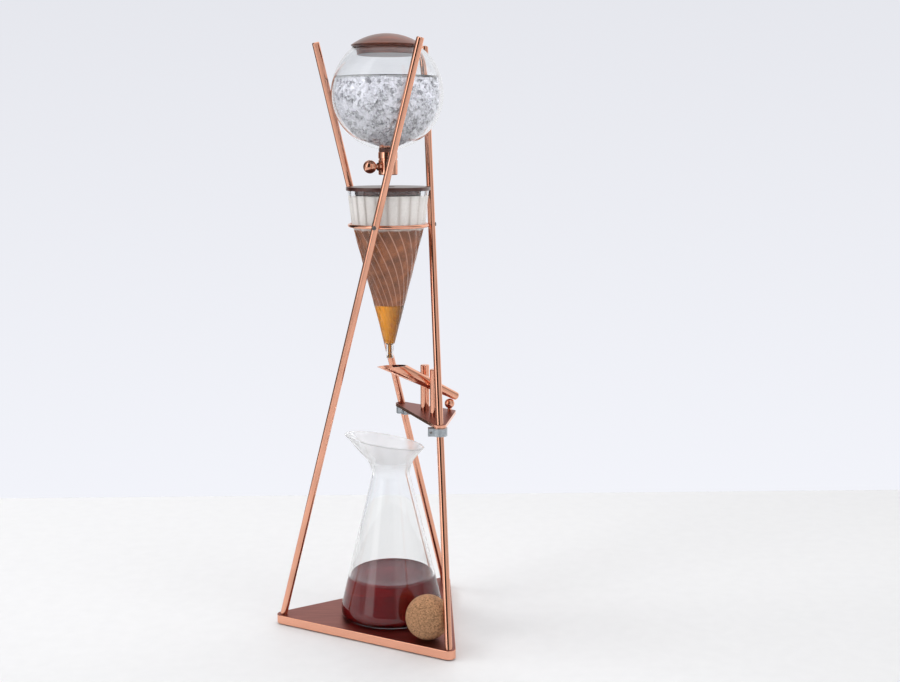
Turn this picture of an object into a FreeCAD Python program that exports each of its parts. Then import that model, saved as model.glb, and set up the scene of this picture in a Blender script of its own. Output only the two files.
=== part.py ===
# Cold drip coffee tower: three twisted rods carry a water bulb, a fluted dripper and a tipping tube.
import FreeCAD, Part
import math
import operator
import os

import Sketcher
from FreeCAD import Placement, Rotation, Vector

# Driving dimensions in millimetres, degrees or counts. Heights with "above" start at what their name says.
SIZES = {
    # Clearances
    "fit_gap": 0.05,
    "free_gap": 0.3,
    # Base plate and the rubber sheet under it
    "plate_thick": 9.5,
    "plate_corner": 7.5,
    "plate_bevel": 0.6,
    "pad_high": 1.5,
    "pad_inset": 3.0,
    "pad_notch_dia": 18.0,
    # Hex sockets of the screws, as shares of the head's width and height
    "socket_wide_share": 0.6,
    "socket_deep_share": 0.5,
    # The three straight rods, between two circles that are turned against each other
    "rod_dia": 8.0,
    "rod_foot_circle": 123.2,
    "rod_top_circle": 75.9,
    "rod_twist": 117.8,
    "rod_rise": 634.4,
    "rod_end_bevel": 0.8,
    "rod_socket_deep": 3.6,
    # Screws that hold the rods from under the plate
    "foot_screw_dia": 4.0,
    "foot_screw_grip": 8.0,
    "foot_head_dia": 7.0,
    "foot_head_high": 2.2,
    "foot_web": 2.6,
    # Ring that steadies the rods and carries the dripper
    "valve_above_lid": 12.6,
    "ring_wire": 4.0,
    "ring_screw_dia": 2.5,
    "ring_head_dia": 4.5,
    "ring_head_high": 2.2,
    "ring_head_sunk": 1.6,
    "ring_thread_deep": 2.6,
    # Platform of the tipping tube
    "platform_above_plate": 229.0,
    "platform_thick": 3.5,
    "platform_lobe": 7.0,
    "clamp_high": 8.5,
    "clamp_dia": 16.0,
    "clamp_lug_long": 13.0,
    "clamp_lug_wide": 9.0,
    "clamp_slit": 1.2,
    "clamp_screw_out": 9.8,
    "clamp_screw_dia": 2.6,
    "clamp_head_dia": 4.8,
    "clamp_head_high": 2.4,
    "rear_lug_heading": -65.0,
    "front_lug_heading": 180.0,
    # Posts and pivot of the tipping tube
    "tube_heading": 19.4,
    "pivot_out": 46.6,
    "pivot_above_platform": 33.2,
    "post_dia": 10.0,
    "post_high": 52.0,
    "post_spacing": 31.0,
    "post_bevel": 0.6,
    "post_screw_dia": 3.0,
    "post_screw_grip": 7.0,
    "post_head_dia": 5.5,
    "post_head_high": 2.4,
    "pin_dia": 3.0,
    "pin_proud": 0.5,
    "bush_dia": 5.0,
    # Tipping tube, measured along its axis from the pivot
    "tube_tilt": 28.0,
    "tube_mouth_long": 66.0,
    "tube_tail_long": 38.0,
    "tube_mouth_dia": 17.8,
    "tube_tail_dia": 8.8,
    "tube_wall": 0.8,
    "tube_tail_round": 2.5,
    "tube_cut_above_pivot": 22.6,
    "tube_weight_reach": 7.0,
    # Ball that the tube's tail falls back on
    "strike_out": 70.5,
    "strike_dia": 11.2,
    "strike_neck_dia": 4.6,
    "strike_stud_dia": 3.0,
    "strike_nut_wide": 5.5,
    "strike_nut_high": 2.4,
    # Water bulb
    "bulb_dia": 120.0,
    "bulb_wall": 1.8,
    "bulb_rim_above_centre": 48.0,
    "bulb_hole_dia": 12.6,
    # Valve under the bulb, measured down from the glass or up from the valve's foot
    "valve_dia": 21.0,
    "valve_high": 24.8,
    "valve_bevel": 0.7,
    "valve_groove_above_foot": 16.2,
    "valve_groove_high": 0.9,
    "valve_groove_deep": 0.6,
    "spigot_dia": 12.0,
    "spigot_proud": 2.25,
    "inlet_dia": 5.0,
    "drip_hole_dia": 2.4,
    "gasket_thick": 2.0,
    "gasket_dia": 19.6,
    "inner_gasket_thick": 1.6,
    "valve_nut_dia": 19.0,
    "valve_nut_high": 4.0,
    # Needle and its ball knob, measured out from the valve's axis
    "knob_heading": 213.0,
    "needle_above_foot": 8.9,
    "needle_dia": 4.0,
    "needle_tip_dia": 1.0,
    "needle_tip_long": 3.2,
    "gland_hole_dia": 7.2,
    "gland_floor_out": 5.0,
    "gland_thread_out": 8.5,
    "gland_head_out": 10.6,
    "gland_head_long": 2.0,
    "gland_head_dia": 8.6,
    "seal_thick": 1.2,
    "knob_out": 22.8,
    "knob_dia": 14.4,
    "knob_neck_dia": 5.4,
    "knob_neck_out": 14.2,
    # Wooden lid of the bulb
    "bulb_lid_dia": 76.6,
    "bulb_lid_edge": 2.1,
    "bulb_lid_crown": 12.3,
    "bulb_plug_dia": 64.0,
    "bulb_plug_deep": 8.0,
    "lid_seal_thick": 1.8,
    "lid_seal_proud": 0.4,
    # Fluted dripper, measured from the ring's height
    "flute_count": 20,
    "flute_depth": 1.5,
    "flute_swirl": 105.0,
    "dripper_rim_dia": 88.6,
    "dripper_rim_above_ring": 37.4,
    "dripper_shoulder_below_ring": 4.0,
    "dripper_shoulder_dia": 76.6,
    "dripper_cone_below_ring": 130.3,
    "dripper_cone_dia": 11.0,
    "dripper_tip_below_ring": 146.1,
    "dripper_tip_dia": 8.0,
    "dripper_outlet_dia": 4.0,
    "dripper_wall": 1.6,
    "dripper_foot_thick": 9.6,
    "dripper_nozzle_grip": 3.2,
    "filter_thick": 0.5,
    "filter_floor_below_ring": 87.0,
    "filter_below_rim": 5.0,
    "dripper_lid_dia": 91.4,
    "dripper_lid_thick": 4.0,
    "dripper_lid_bevel": 0.6,
    "dripper_plug_dia": 79.6,
    "dripper_plug_deep": 4.0,
    "drip_way_dia": 14.0,
    # Carafe
    "carafe_base_dia": 115.0,
    "carafe_belly_high": 9.5,
    "carafe_belly_step": 1.0,
    "carafe_foot_round": 6.0,
    "carafe_neck_dia": 42.6,
    "carafe_neck_high": 166.0,
    "carafe_mouth_dia": 101.0,
    "carafe_mouth_high": 209.0,
    "carafe_throat_below_neck": 11.0,
    "carafe_throat_wider": 1.6,
    "carafe_flare_above_neck": 13.0,
    "carafe_flare_wider": 4.6,
    "carafe_lip_below_mouth": 16.6,
    "carafe_lip_narrower": 13.4,
    "carafe_past_mouth": 9.0,
    "carafe_wall": 2.0,
    "carafe_floor": 3.5,
    "carafe_rim_high": 199.8,
    "carafe_rim_slope": 11.3,
    "carafe_rim_heading": 200.0,
    # Cork ball
    "cork_dia": 48.4,
    "cork_right": 40.0,
    "cork_front": 79.0,
}

OPERATIONS = {"+": operator.add, "-": operator.sub, "*": operator.mul, "/": operator.truediv}


class Size:
    """A length that is known as a number and as a formula on the sheet."""

    def __init__(self, value, formula):
        self.value = value
        self.formula = formula

    def __add__(self, other):
        return joined(self, "+", other)

    def __radd__(self, other):
        return joined(other, "+", self)

    def __sub__(self, other):
        return joined(self, "-", other)

    def __rsub__(self, other):
        return joined(other, "-", self)

    def __mul__(self, other):
        return joined(self, "*", other)

    def __rmul__(self, other):
        return joined(other, "*", self)

    def __truediv__(self, other):
        return joined(self, "/", other)

    def __neg__(self):
        return joined(0, "-", self)


def as_size(number):
    """Plain numbers become sizes, so that they can be mixed."""
    if isinstance(number, Size):
        return number
    return Size(float(number), repr(float(number)))


def joined(left, sign, right):
    """Two sizes joined by one arithmetic sign."""
    left = as_size(left)
    right = as_size(right)
    value = OPERATIONS[sign](left.value, right.value)
    return Size(value, "(%s %s %s)" % (left.formula, sign, right.formula))


def root(size):
    """Square root of a size."""
    return Size(math.sqrt(size.value), "sqrt(%s)" % size.formula)


def cosine(angle):
    """Cosine of an angle in degrees."""
    angle = as_size(angle)
    return Size(math.cos(math.radians(angle.value)), "cos(%s)" % angle.formula)


def sine(angle):
    """Sine of an angle in degrees."""
    angle = as_size(angle)
    return Size(math.sin(math.radians(angle.value)), "sin(%s)" % angle.formula)


class Sheet:
    """The spreadsheet's sizes by name, as in dims.rod_dia."""

    def __init__(self, document):
        self.sheet = document.addObject("Spreadsheet::Sheet", "Sizes")
        for row, (name, value) in enumerate(SIZES.items(), start=1):
            self.sheet.set("A%d" % row, name)
            self.sheet.set("B%d" % row, str(value))
            self.sheet.setAlias("B%d" % row, name)
        document.recompute()

    def __getattr__(self, name):
        return Size(float(self.sheet.get(name)), "Sizes." + name)


doc = FreeCAD.newDocument("drip_tower")
dims = Sheet(doc)
NODES = {}

UP = Vector(0, 0, 1)
FORWARD = Vector(1, 0, 0)
ROD_COUNT = 3
FIRST_ROD_ANGLE = 180
BASE_TOP = dims.pad_high + dims.plate_thick

# How edges are told apart: a distance in millimetres and the least upward share of an upright edge
EDGE_SLACK = 0.01
STEEP = 0.99


# Building blocks

def keep(node, part):
    """Give a finished piece its name."""
    part.Label = node
    NODES[node] = part
    return part


def bind(part, **sizes):
    """Tie a part's properties to the sheet."""
    for name, size in sizes.items():
        setattr(part, name, as_size(size).value)
        if isinstance(size, Size):
            part.setExpression(name, size.formula)
    return part


def primitive(kind, place=None, **sizes):
    """A Part primitive with its sizes tied to the sheet."""
    part = bind(doc.addObject("Part::" + kind, kind), **sizes)
    if place is not None:
        part.Placement = place
    return part


def hexagon(reach, high, place):
    """A six-sided bar, its corners a reach from its axis."""
    bar = primitive("Prism", place, Circumradius=reach, Height=high)
    bar.Polygon = 6
    return bar


def cylinder(dia, high, place=None):
    """A cylinder that stands on its placement's origin."""
    return primitive("Cylinder", place, Radius=dia / 2, Height=high)


def centred_box(long, wide, high, place):
    """A box centred across its width, starting at its placement's origin."""
    shift = Placement(Vector(0, -as_size(wide).value / 2, 0), Rotation())
    return primitive("Box", place.multiply(shift), Length=long, Width=wide, Height=high)


def cut(base, *tools):
    """The base without the tools."""
    part = doc.addObject("Part::Cut", "Cut")
    part.Base = base
    part.Tool = tools[0] if len(tools) == 1 else fuse(*tools)
    return part


def fuse(*parts):
    """Several shapes as one solid."""
    part = doc.addObject("Part::MultiFuse", "Fuse")
    part.Shapes = list(parts)
    return part


def group(node, parts):
    """Like pieces that share one node."""
    part = doc.addObject("Part::Compound", node)
    part.Links = list(parts)
    return keep(node, part)


def at(x, y, z, turn=None):
    """A placement from plain numbers or sizes."""
    spot = Vector(as_size(x).value, as_size(y).value, as_size(z).value)
    return Placement(spot, turn or Rotation())


def aimed(spot, direction):
    """A placement whose own Z runs along a direction."""
    return Placement(spot, Rotation(UP, direction))


def heading(angle):
    """A level direction from an angle in plan."""
    angle = math.radians(as_size(angle).value)
    return Vector(math.cos(angle), math.sin(angle), 0)


def plane_of(body, role):
    """One of a body's own origin planes."""
    return next(item for item in body.Origin.OriginFeatures if item.Role == role)


def outline(body, role, corners):
    """A closed outline of straight lines, each corner tied to the sheet."""
    sketch = body.newObject("Sketcher::SketchObject", "Outline")
    sketch.AttachmentSupport = [(plane_of(body, role), "")]
    sketch.MapMode = "FlatFace"
    points = [(as_size(x), as_size(y)) for x, y in corners]
    spots = [Vector(x.value, y.value, 0) for x, y in points]
    count = len(spots)
    for index in range(count):
        sketch.addGeometry(Part.LineSegment(spots[index], spots[(index + 1) % count]), False)
    for index in range(count):
        sketch.addConstraint(Sketcher.Constraint("Coincident", index, 2, (index + 1) % count, 1))
    for index, point in enumerate(points):
        for kind, size, axis in (("DistanceX", point[0], -2), ("DistanceY", point[1], -1)):
            if abs(size.value) < 1e-9:
                sketch.addConstraint(Sketcher.Constraint("PointOnObject", index, 1, axis))
                continue
            number = sketch.addConstraint(Sketcher.Constraint(kind, -1, 1, index, 1, size.value))
            sketch.setExpression("Constraints[%d]" % number, size.formula)
    return sketch


def turned(corners, axis="V_Axis"):
    """A turned piece: an outline in radius and height, spun about the upright or the level axis."""
    body = doc.addObject("PartDesign::Body", "Turned")
    sketch = outline(body, "XZ_Plane", corners)
    spin = body.newObject("PartDesign::Revolution", "Spin")
    spin.Profile = sketch
    spin.ReferenceAxis = (sketch, [axis])
    spin.Angle = 360
    sketch.Visibility = False
    return body


def rounded(body, radius, chosen):
    """Round those edges of a body that a test picks."""
    doc.recompute()
    base = body.Tip
    names = ["Edge%d" % (number + 1) for number, edge in enumerate(base.Shape.Edges) if chosen(edge)]
    smooth = body.newObject("PartDesign::Fillet", "Round")
    smooth.Base = (base, names)
    bind(smooth, Radius=radius)
    body.Tip = smooth
    return body


def screw(dia, long, head_dia, head_high, place):
    """A socket screw whose head starts at the placement's origin and whose shank runs along its Z."""
    shank = cylinder(dia, long + head_high, place)
    head = cylinder(head_dia, head_high, place)
    key = hexagon(head_dia / 2 * dims.socket_wide_share, head_high * dims.socket_deep_share, place)
    return cut(fuse(shank, head), key)


# The three rods

def rod_angle(number):
    """Plan angle of a rod's foot."""
    return FIRST_ROD_ANGLE + number * 360 / ROD_COUNT


def rod_at(number, above_plate):
    """Point of a rod's axis at a height above the plate, as two sizes."""
    share = above_plate / dims.rod_rise
    low = rod_angle(number)
    high = low + dims.rod_twist
    spots = []
    for turn in (cosine, sine):
        start = dims.rod_foot_circle * turn(low)
        end = dims.rod_top_circle * turn(high)
        spots.append(start + (end - start) * share)
    return spots


def rod_spot(number, above_plate):
    """The same point as a plain vector in the tower's frame."""
    x, y = rod_at(number, as_size(above_plate))
    return Vector(x.value, y.value, BASE_TOP.value + as_size(above_plate).value)


def rod_line(number):
    """Placement at a rod's foot with Z along the rod."""
    foot = rod_spot(number, 0)
    return aimed(foot, rod_spot(number, dims.rod_rise) - foot)


def rod_length():
    """Length of a rod from the plate's top face to its end."""
    x0, y0 = rod_at(0, as_size(0))
    x1, y1 = rod_at(0, dims.rod_rise)
    run = (x1 - x0) * (x1 - x0) + (y1 - y0) * (y1 - y0)
    return root(run + dims.rod_rise * dims.rod_rise)


def along_rod(number, start):
    """Placement on a rod's axis, a distance from its foot."""
    line = rod_line(number)
    return Placement(line.multVec(UP * as_size(start).value), line.Rotation)


def sphere_drop(radius, out):
    """Distance from a sphere's centre down to its skin, a distance out from its axis."""
    return root(radius * radius - out * out)


def bulb_centre():
    """Height of the bulb's centre, where the glass rests on all three rods."""
    low = rod_spot(0, 0)
    chord = rod_spot(0, dims.rod_rise) - low
    run = math.hypot(chord.x, chord.y)
    waist = abs(low.x * chord.y - low.y * chord.x) / run
    reach = dims.bulb_dia.value / 2 + dims.rod_dia.value / 2 + dims.free_gap.value
    past_waist = math.sqrt(reach ** 2 - waist ** 2) * chord.Length / chord.z
    to_waist = -(low.x * chord.x + low.y * chord.y) / run
    return low.z + chord.z * (to_waist + past_waist) / run


BULB_CENTRE = bulb_centre()


def glass_under(out):
    """Height of the bulb's outer skin, a distance out from the axis."""
    return BULB_CENTRE - sphere_drop(dims.bulb_dia / 2, out)


def valve_foot():
    """Height of the valve's lower face."""
    return glass_under(dims.bulb_hole_dia / 2) - dims.gasket_thick - dims.valve_high


def ring_height():
    """Height of the ring's wire, which keeps the dripper's lid clear of the valve."""
    lid_top = valve_foot() - dims.valve_above_lid
    return lid_top - dims.dripper_lid_thick - dims.dripper_rim_above_ring


def ring_above_plate():
    """The same height, from the plate's top face."""
    return ring_height() - BASE_TOP


def ring_reach():
    """Distance of a rod's axis from the tower's axis at the ring."""
    x, y = rod_at(0, ring_above_plate())
    return root(x * x + y * y)


def ring_screw_place(number, out):
    """Placement on a ring screw's axis, looking in at the tower's axis."""
    spot = rod_spot(number, ring_above_plate())
    inward = Vector(-spot.x, -spot.y, 0).normalize()
    return aimed(spot - inward * as_size(out).value, inward)


def rods():
    """Three rods, each with a bore for its foot screw and a hole for its ring screw."""
    radius = dims.rod_dia / 2
    bevel = dims.rod_end_bevel
    length = rod_length()
    for number, node in enumerate(("left_rod", "front_rod", "back_rod")):
        bar = turned([
            (0, -dims.rod_socket_deep),
            (radius, -dims.rod_socket_deep),
            (radius, length - bevel),
            (radius - bevel, length),
            (0, length),
        ])
        bar.Placement = rod_line(number)
        bore = cylinder(
            dims.foot_screw_dia + 2 * dims.fit_gap,
            dims.foot_screw_grip + dims.free_gap + dims.rod_socket_deep,
            along_rod(number, -dims.rod_socket_deep),
        )
        way = cylinder(
            dims.ring_screw_dia + 2 * dims.fit_gap,
            dims.rod_dia * 2,
            ring_screw_place(number, dims.rod_dia),
        )
        seat = cylinder(
            dims.ring_head_dia + 2 * dims.fit_gap,
            dims.rod_dia,
            ring_screw_place(number, dims.rod_dia / 2 - dims.ring_head_sunk + dims.rod_dia),
        )
        keep(node, cut(bar, bore, way, seat))


# Base

def triangle(corner, thick):
    """A flat triangle whose corners are arcs about the rods' feet."""
    reach = dims.rod_foot_circle + 2 * corner
    body = doc.addObject("PartDesign::Body", "Triangle")
    corners = [(reach * cosine(rod_angle(n)), reach * sine(rod_angle(n))) for n in range(ROD_COUNT)]
    sketch = outline(body, "XY_Plane", corners)
    slab = body.newObject("PartDesign::Pad", "Slab")
    slab.Profile = sketch
    bind(slab, Length=thick)
    return rounded(body, corner, is_upright)


def base_plate():
    """Triangular plate whose corners are round about the rods' feet."""
    body = triangle(dims.plate_corner, dims.plate_thick)
    top = dims.plate_thick.value
    rounded(body, dims.plate_bevel, lambda edge: edge.BoundBox.ZMin > top - EDGE_SLACK)
    body.Placement = at(0, 0, dims.pad_high)
    tools = []
    for number in range(ROD_COUNT):
        tools.append(cylinder(
            dims.rod_dia + 2 * dims.fit_gap,
            dims.rod_socket_deep + dims.rod_dia,
            along_rod(number, -dims.rod_socket_deep),
        ))
        tools.append(cylinder(
            dims.foot_screw_dia + 2 * dims.fit_gap,
            dims.plate_thick * 2,
            along_rod(number, -dims.plate_thick * 2),
        ))
        tools.append(cylinder(
            dims.foot_head_dia + 2 * dims.free_gap,
            dims.plate_thick,
            along_rod(number, -dims.rod_socket_deep - dims.foot_web - dims.plate_thick),
        ))
    keep("base_plate", cut(body, *tools))


def is_upright(edge):
    """True for an edge that runs along Z."""
    if not isinstance(edge.Curve, Part.Line):
        return False
    return abs(edge.Curve.Direction.z) > STEEP


def base_pad():
    """Rubber sheet under the plate, notched about the foot screws."""
    slab = triangle(dims.plate_corner - dims.pad_inset, dims.pad_high)
    notches = []
    for number in range(ROD_COUNT):
        spot = heading(rod_angle(number)) * dims.rod_foot_circle.value
        notches.append(cylinder(dims.pad_notch_dia, dims.pad_high, Placement(spot, Rotation())))
    keep("base_pad", cut(slab, *notches))


def foot_screws():
    """Screws from below, up into the rods."""
    head_start = -dims.rod_socket_deep - dims.foot_web - dims.foot_head_high
    grip = dims.foot_web + dims.rod_socket_deep + dims.foot_screw_grip
    parts = []
    for number in range(ROD_COUNT):
        place = along_rod(number, head_start)
        parts.append(screw(dims.foot_screw_dia, grip, dims.foot_head_dia, dims.foot_head_high, place))
    group("foot_screws", parts)


# Ring

def dripper_ring():
    """Wire ring that touches the inner side of all three rods."""
    middle = ring_reach() - dims.rod_dia / 2 - dims.ring_wire / 2 - dims.fit_gap
    wire = primitive("Torus", at(0, 0, ring_height()), Radius1=middle, Radius2=dims.ring_wire / 2)
    holes = [cylinder(
        dims.ring_screw_dia + 2 * dims.fit_gap,
        dims.rod_dia / 2 + dims.ring_thread_deep + dims.free_gap,
        ring_screw_place(number, 0),
    ) for number in range(ROD_COUNT)]
    keep("dripper_ring", cut(wire, *holes))


def ring_screws():
    """Small socket screws through the rods into the ring."""
    parts = []
    seat = dims.rod_dia / 2 - dims.ring_head_sunk
    long = seat + dims.rod_dia / 2 + dims.ring_thread_deep
    for number in range(ROD_COUNT):
        place = ring_screw_place(number, seat + dims.ring_head_high)
        parts.append(screw(dims.ring_screw_dia, long, dims.ring_head_dia, dims.ring_head_high, place))
    group("ring_screws", parts)


# Platform of the tipping tube

FRONT_ROD = 1
BACK_ROD = 2


def tube_axis_spot(out, above_plate):
    """Point in the tipping tube's upright plane, a distance out from the tower's axis."""
    spot = heading(dims.tube_heading) * as_size(out).value
    return Vector(spot.x, spot.y, (BASE_TOP + above_plate).value)


def post_spots():
    """Feet of the rear and the front post on the platform."""
    middle = tube_axis_spot(dims.pivot_out, dims.platform_above_plate)
    aside = heading(dims.tube_heading + 90) * (dims.post_spacing.value / 2)
    return {"rear_post": middle + aside, "front_post": middle - aside}


def pour_platform():
    """Three-lobed plate that two rods pass through, with holes for the posts and the strike ball."""
    top = dims.platform_above_plate
    centres = [rod_spot(BACK_ROD, top), rod_spot(FRONT_ROD, top), tube_axis_spot(dims.strike_out, top)]
    path = Part.makePolygon(centres + centres[:1])
    face = Part.Face(path).makeOffset2D(dims.platform_lobe.value, 0)
    slab = face.extrude(Vector(0, 0, -dims.platform_thick.value))
    raw = doc.addObject("Part::Feature", "PlatformSlab")
    raw.Shape = slab
    drop = dims.platform_thick * 3
    tools = []
    for number in (BACK_ROD, FRONT_ROD):
        foot = rod_spot(number, top - drop)
        line = aimed(foot, rod_spot(number, top) - foot)
        tools.append(cylinder(dims.rod_dia + 2 * dims.free_gap, drop * 2, line))
    for spot in post_spots().values():
        low = Placement(spot - UP * drop.value, Rotation())
        tools.append(cylinder(dims.post_screw_dia + 2 * dims.fit_gap, drop * 2, low))
    stud = tube_axis_spot(dims.strike_out, top - drop)
    tools.append(cylinder(dims.strike_stud_dia + 2 * dims.fit_gap, drop * 2, Placement(stud, Rotation())))
    keep("pour_platform", cut(raw, *tools))


def clamp_screw_place(number, turn, side):
    """Placement at a clamp screw's head, looking across the lug from one side of it."""
    middle = dims.platform_above_plate - dims.platform_thick - dims.clamp_high / 2
    spot = rod_spot(number, middle) + heading(turn) * dims.clamp_screw_out.value
    across = heading(turn + side * 90)
    return aimed(spot - across * (dims.clamp_lug_wide.value / 2), across)


def clamps():
    """Split collars under the platform, one on each rod, with a lug and a cross screw."""
    foot = dims.platform_above_plate - dims.platform_thick - dims.clamp_high
    screws = []
    collars = (
        ("rear_clamp", BACK_ROD, dims.rear_lug_heading.value, -1),
        ("front_clamp", FRONT_ROD, dims.front_lug_heading.value, 1),
    )
    for node, number, turn, side in collars:
        middle = rod_spot(number, foot + dims.clamp_high / 2)
        low = Vector(middle.x, middle.y, rod_spot(number, foot).z)
        place = Placement(low, Rotation(UP, turn))
        collar = cylinder(dims.clamp_dia, dims.clamp_high, Placement(low, Rotation()))
        lug = centred_box(dims.clamp_lug_long, dims.clamp_lug_wide, dims.clamp_high, place)
        start = rod_spot(number, foot - dims.clamp_high)
        line = aimed(start, rod_spot(number, foot) - start)
        bore = cylinder(dims.rod_dia + 2 * dims.fit_gap, dims.clamp_high * 4, line)
        slit_place = Placement(low - UP * dims.clamp_high.value, place.Rotation)
        slit = centred_box(dims.clamp_lug_long * 2, dims.clamp_slit, dims.clamp_high * 3, slit_place)
        head = clamp_screw_place(number, turn, side)
        seat = cylinder(dims.clamp_head_dia + 2 * dims.fit_gap, dims.clamp_head_high, head)
        way = cylinder(dims.clamp_screw_dia + 2 * dims.fit_gap, dims.clamp_lug_wide * 2, head)
        keep(node, cut(fuse(collar, lug), bore, slit, seat, way))
        long = dims.clamp_lug_wide - dims.clamp_head_high - dims.free_gap
        screws.append(screw(dims.clamp_screw_dia, long, dims.clamp_head_dia, dims.clamp_head_high, head))
    group("clamp_screws", screws)


def pivot_spot():
    """The tipping tube's pivot."""
    return tube_axis_spot(dims.pivot_out, dims.platform_above_plate + dims.pivot_above_platform)


def pin_place(half):
    """Placement on the pivot line, a distance before its middle."""
    across = heading(dims.tube_heading + 90)
    return aimed(pivot_spot() - across * as_size(half).value, across)


def pin_length():
    """Length of the pivot pin, through both posts."""
    return dims.post_spacing + dims.post_dia + 2 * dims.pin_proud


def posts():
    """Two posts with a bevelled top, a cross hole for the pin and a bore for a screw."""
    radius = dims.post_dia / 2
    screws = []
    for node, spot in post_spots().items():
        bar = turned([
            (0, 0),
            (radius, 0),
            (radius, dims.post_high - dims.post_bevel),
            (radius - dims.post_bevel, dims.post_high),
            (0, dims.post_high),
        ])
        bar.Placement = Placement(spot, Rotation())
        bore = cylinder(
            dims.post_screw_dia + 2 * dims.fit_gap,
            dims.post_screw_grip + dims.free_gap,
            Placement(spot, Rotation()),
        )
        hole = cylinder(dims.pin_dia + 2 * dims.fit_gap, pin_length(), pin_place(pin_length() / 2))
        keep(node, cut(bar, bore, hole))
        low = Placement(spot - UP * (dims.platform_thick + dims.post_head_high).value, Rotation())
        grip = dims.platform_thick + dims.post_screw_grip
        screws.append(screw(dims.post_screw_dia, grip, dims.post_head_dia, dims.post_head_high, low))
    group("post_screws", screws)


def pivot_pin():
    """Pin through both posts, on which the tube's bush turns."""
    keep("pivot_pin", cylinder(dims.pin_dia, pin_length(), pin_place(pin_length() / 2)))


# Tipping tube

def tube_place():
    """The tube's own frame at rest: X towards its mouth, Z square to it, Y along the pin."""
    level = Rotation(UP, dims.tube_heading.value + 180)
    raised = Rotation(Vector(0, 1, 0), -dims.tube_tilt.value)
    return Placement(pivot_spot(), level.multiply(raised))


def tube_slope():
    """Growth of the tube's radius for each millimetre towards its mouth."""
    return (dims.tube_mouth_dia - dims.tube_tail_dia) / 2 / (dims.tube_mouth_long + dims.tube_tail_long)


def tube_radius(out):
    """The tube's outer radius, a distance from the pivot towards the mouth."""
    return dims.tube_tail_dia / 2 + tube_slope() * (dims.tube_tail_long + out)


def above_cut():
    """A block over the level mouth of the tube."""
    size = dims.tube_mouth_long * 3
    corner = pivot_spot() + UP * dims.tube_cut_above_pivot.value - Vector(1, 1, 0) * (size.value / 2)
    return primitive("Box", Placement(corner, Rotation()), Length=size, Width=size, Height=size)


def bush_way():
    """Hole for the bush across the tube."""
    long = dims.post_spacing
    return cylinder(dims.bush_dia + 2 * dims.fit_gap, long, pin_place(long / 2))


def tipping_tube():
    """Tapered tube, cut level at its mouth and closed at its tail."""
    mouth = dims.tube_mouth_long
    tail = dims.tube_tail_long
    shell = turned([
        (-tail, 0),
        (mouth, 0),
        (mouth, tube_radius(mouth)),
        (-tail, tube_radius(-tail)),
    ], "H_Axis")
    end = -tail.value
    rounded(shell, dims.tube_tail_round, lambda edge: edge.BoundBox.XMax < end + EDGE_SLACK and edge.Closed)
    shell.Placement = tube_place()
    floor = dims.tube_wall - tail
    hollow = turned([
        (floor, 0),
        (mouth + dims.tube_wall, 0),
        (mouth + dims.tube_wall, tube_radius(mouth + dims.tube_wall) - dims.tube_wall),
        (floor + dims.tube_tail_round, tube_radius(floor + dims.tube_tail_round) - dims.tube_wall),
        (floor, tube_radius(floor) - dims.tube_tail_round),
    ], "H_Axis")
    hollow.Placement = tube_place()
    keep("tipping_tube", cut(shell, hollow, above_cut(), bush_way()))


def tail_weight():
    """Solid slug that closes the tube's chamber and makes the tail heavy."""
    low = dims.tube_wall + dims.fit_gap - dims.tube_tail_long
    high = dims.tube_weight_reach
    inset = dims.tube_wall + dims.fit_gap
    slug = turned([
        (low, 0),
        (high, 0),
        (high, tube_radius(high) - inset),
        (low + dims.tube_tail_round, tube_radius(low + dims.tube_tail_round) - inset),
        (low, tube_radius(low) - dims.tube_tail_round - dims.fit_gap),
    ], "H_Axis")
    slug.Placement = tube_place()
    keep("tail_weight", cut(slug, bush_way()))


def pivot_bush():
    """Sleeve across the tube that turns on the pin and keeps the tube between the posts."""
    long = dims.post_spacing - dims.post_dia - 2 * dims.free_gap
    sleeve = cylinder(dims.bush_dia, long, pin_place(long / 2))
    bore = cylinder(dims.pin_dia + 2 * dims.fit_gap, long * 2, pin_place(long))
    keep("pivot_bush", cut(sleeve, bore))


def strike_height():
    """Height of the strike ball's centre under the pivot, so that the tail just rests on it."""
    aside = dims.strike_out - dims.pivot_out
    slope = tube_slope()
    lift = (dims.strike_dia / 2 + dims.free_gap) * root(slope * slope + 1)
    down = lift + tube_radius(0) + aside * sine(dims.tube_tilt) - slope * aside * cosine(dims.tube_tilt)
    return down / (slope * sine(dims.tube_tilt) + cosine(dims.tube_tilt))


def strike_ball():
    """Ball on a short neck and stud, with its nut under the platform."""
    top = dims.platform_above_plate
    rise = dims.pivot_above_platform - strike_height()
    foot = tube_axis_spot(dims.strike_out, top)
    ball = primitive("Sphere", Placement(foot + UP * rise.value, Rotation()), Radius=dims.strike_dia / 2)
    neck = cylinder(dims.strike_neck_dia, rise, Placement(foot, Rotation()))
    reach = dims.platform_thick + dims.strike_nut_high + dims.free_gap
    low = Placement(foot - UP * reach.value, Rotation())
    stud = cylinder(dims.strike_stud_dia, reach + rise, low)
    keep("strike_ball", fuse(ball, neck, stud))
    under = Placement(foot - UP * (dims.platform_thick + dims.strike_nut_high).value, Rotation())
    nut = hexagon(dims.strike_nut_wide / 2 / cosine(30), dims.strike_nut_high, under)
    hole = cylinder(dims.strike_stud_dia + 2 * dims.fit_gap, dims.strike_nut_high, under)
    keep("strike_nut", cut(nut, hole))


# Water bulb and valve

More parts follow.
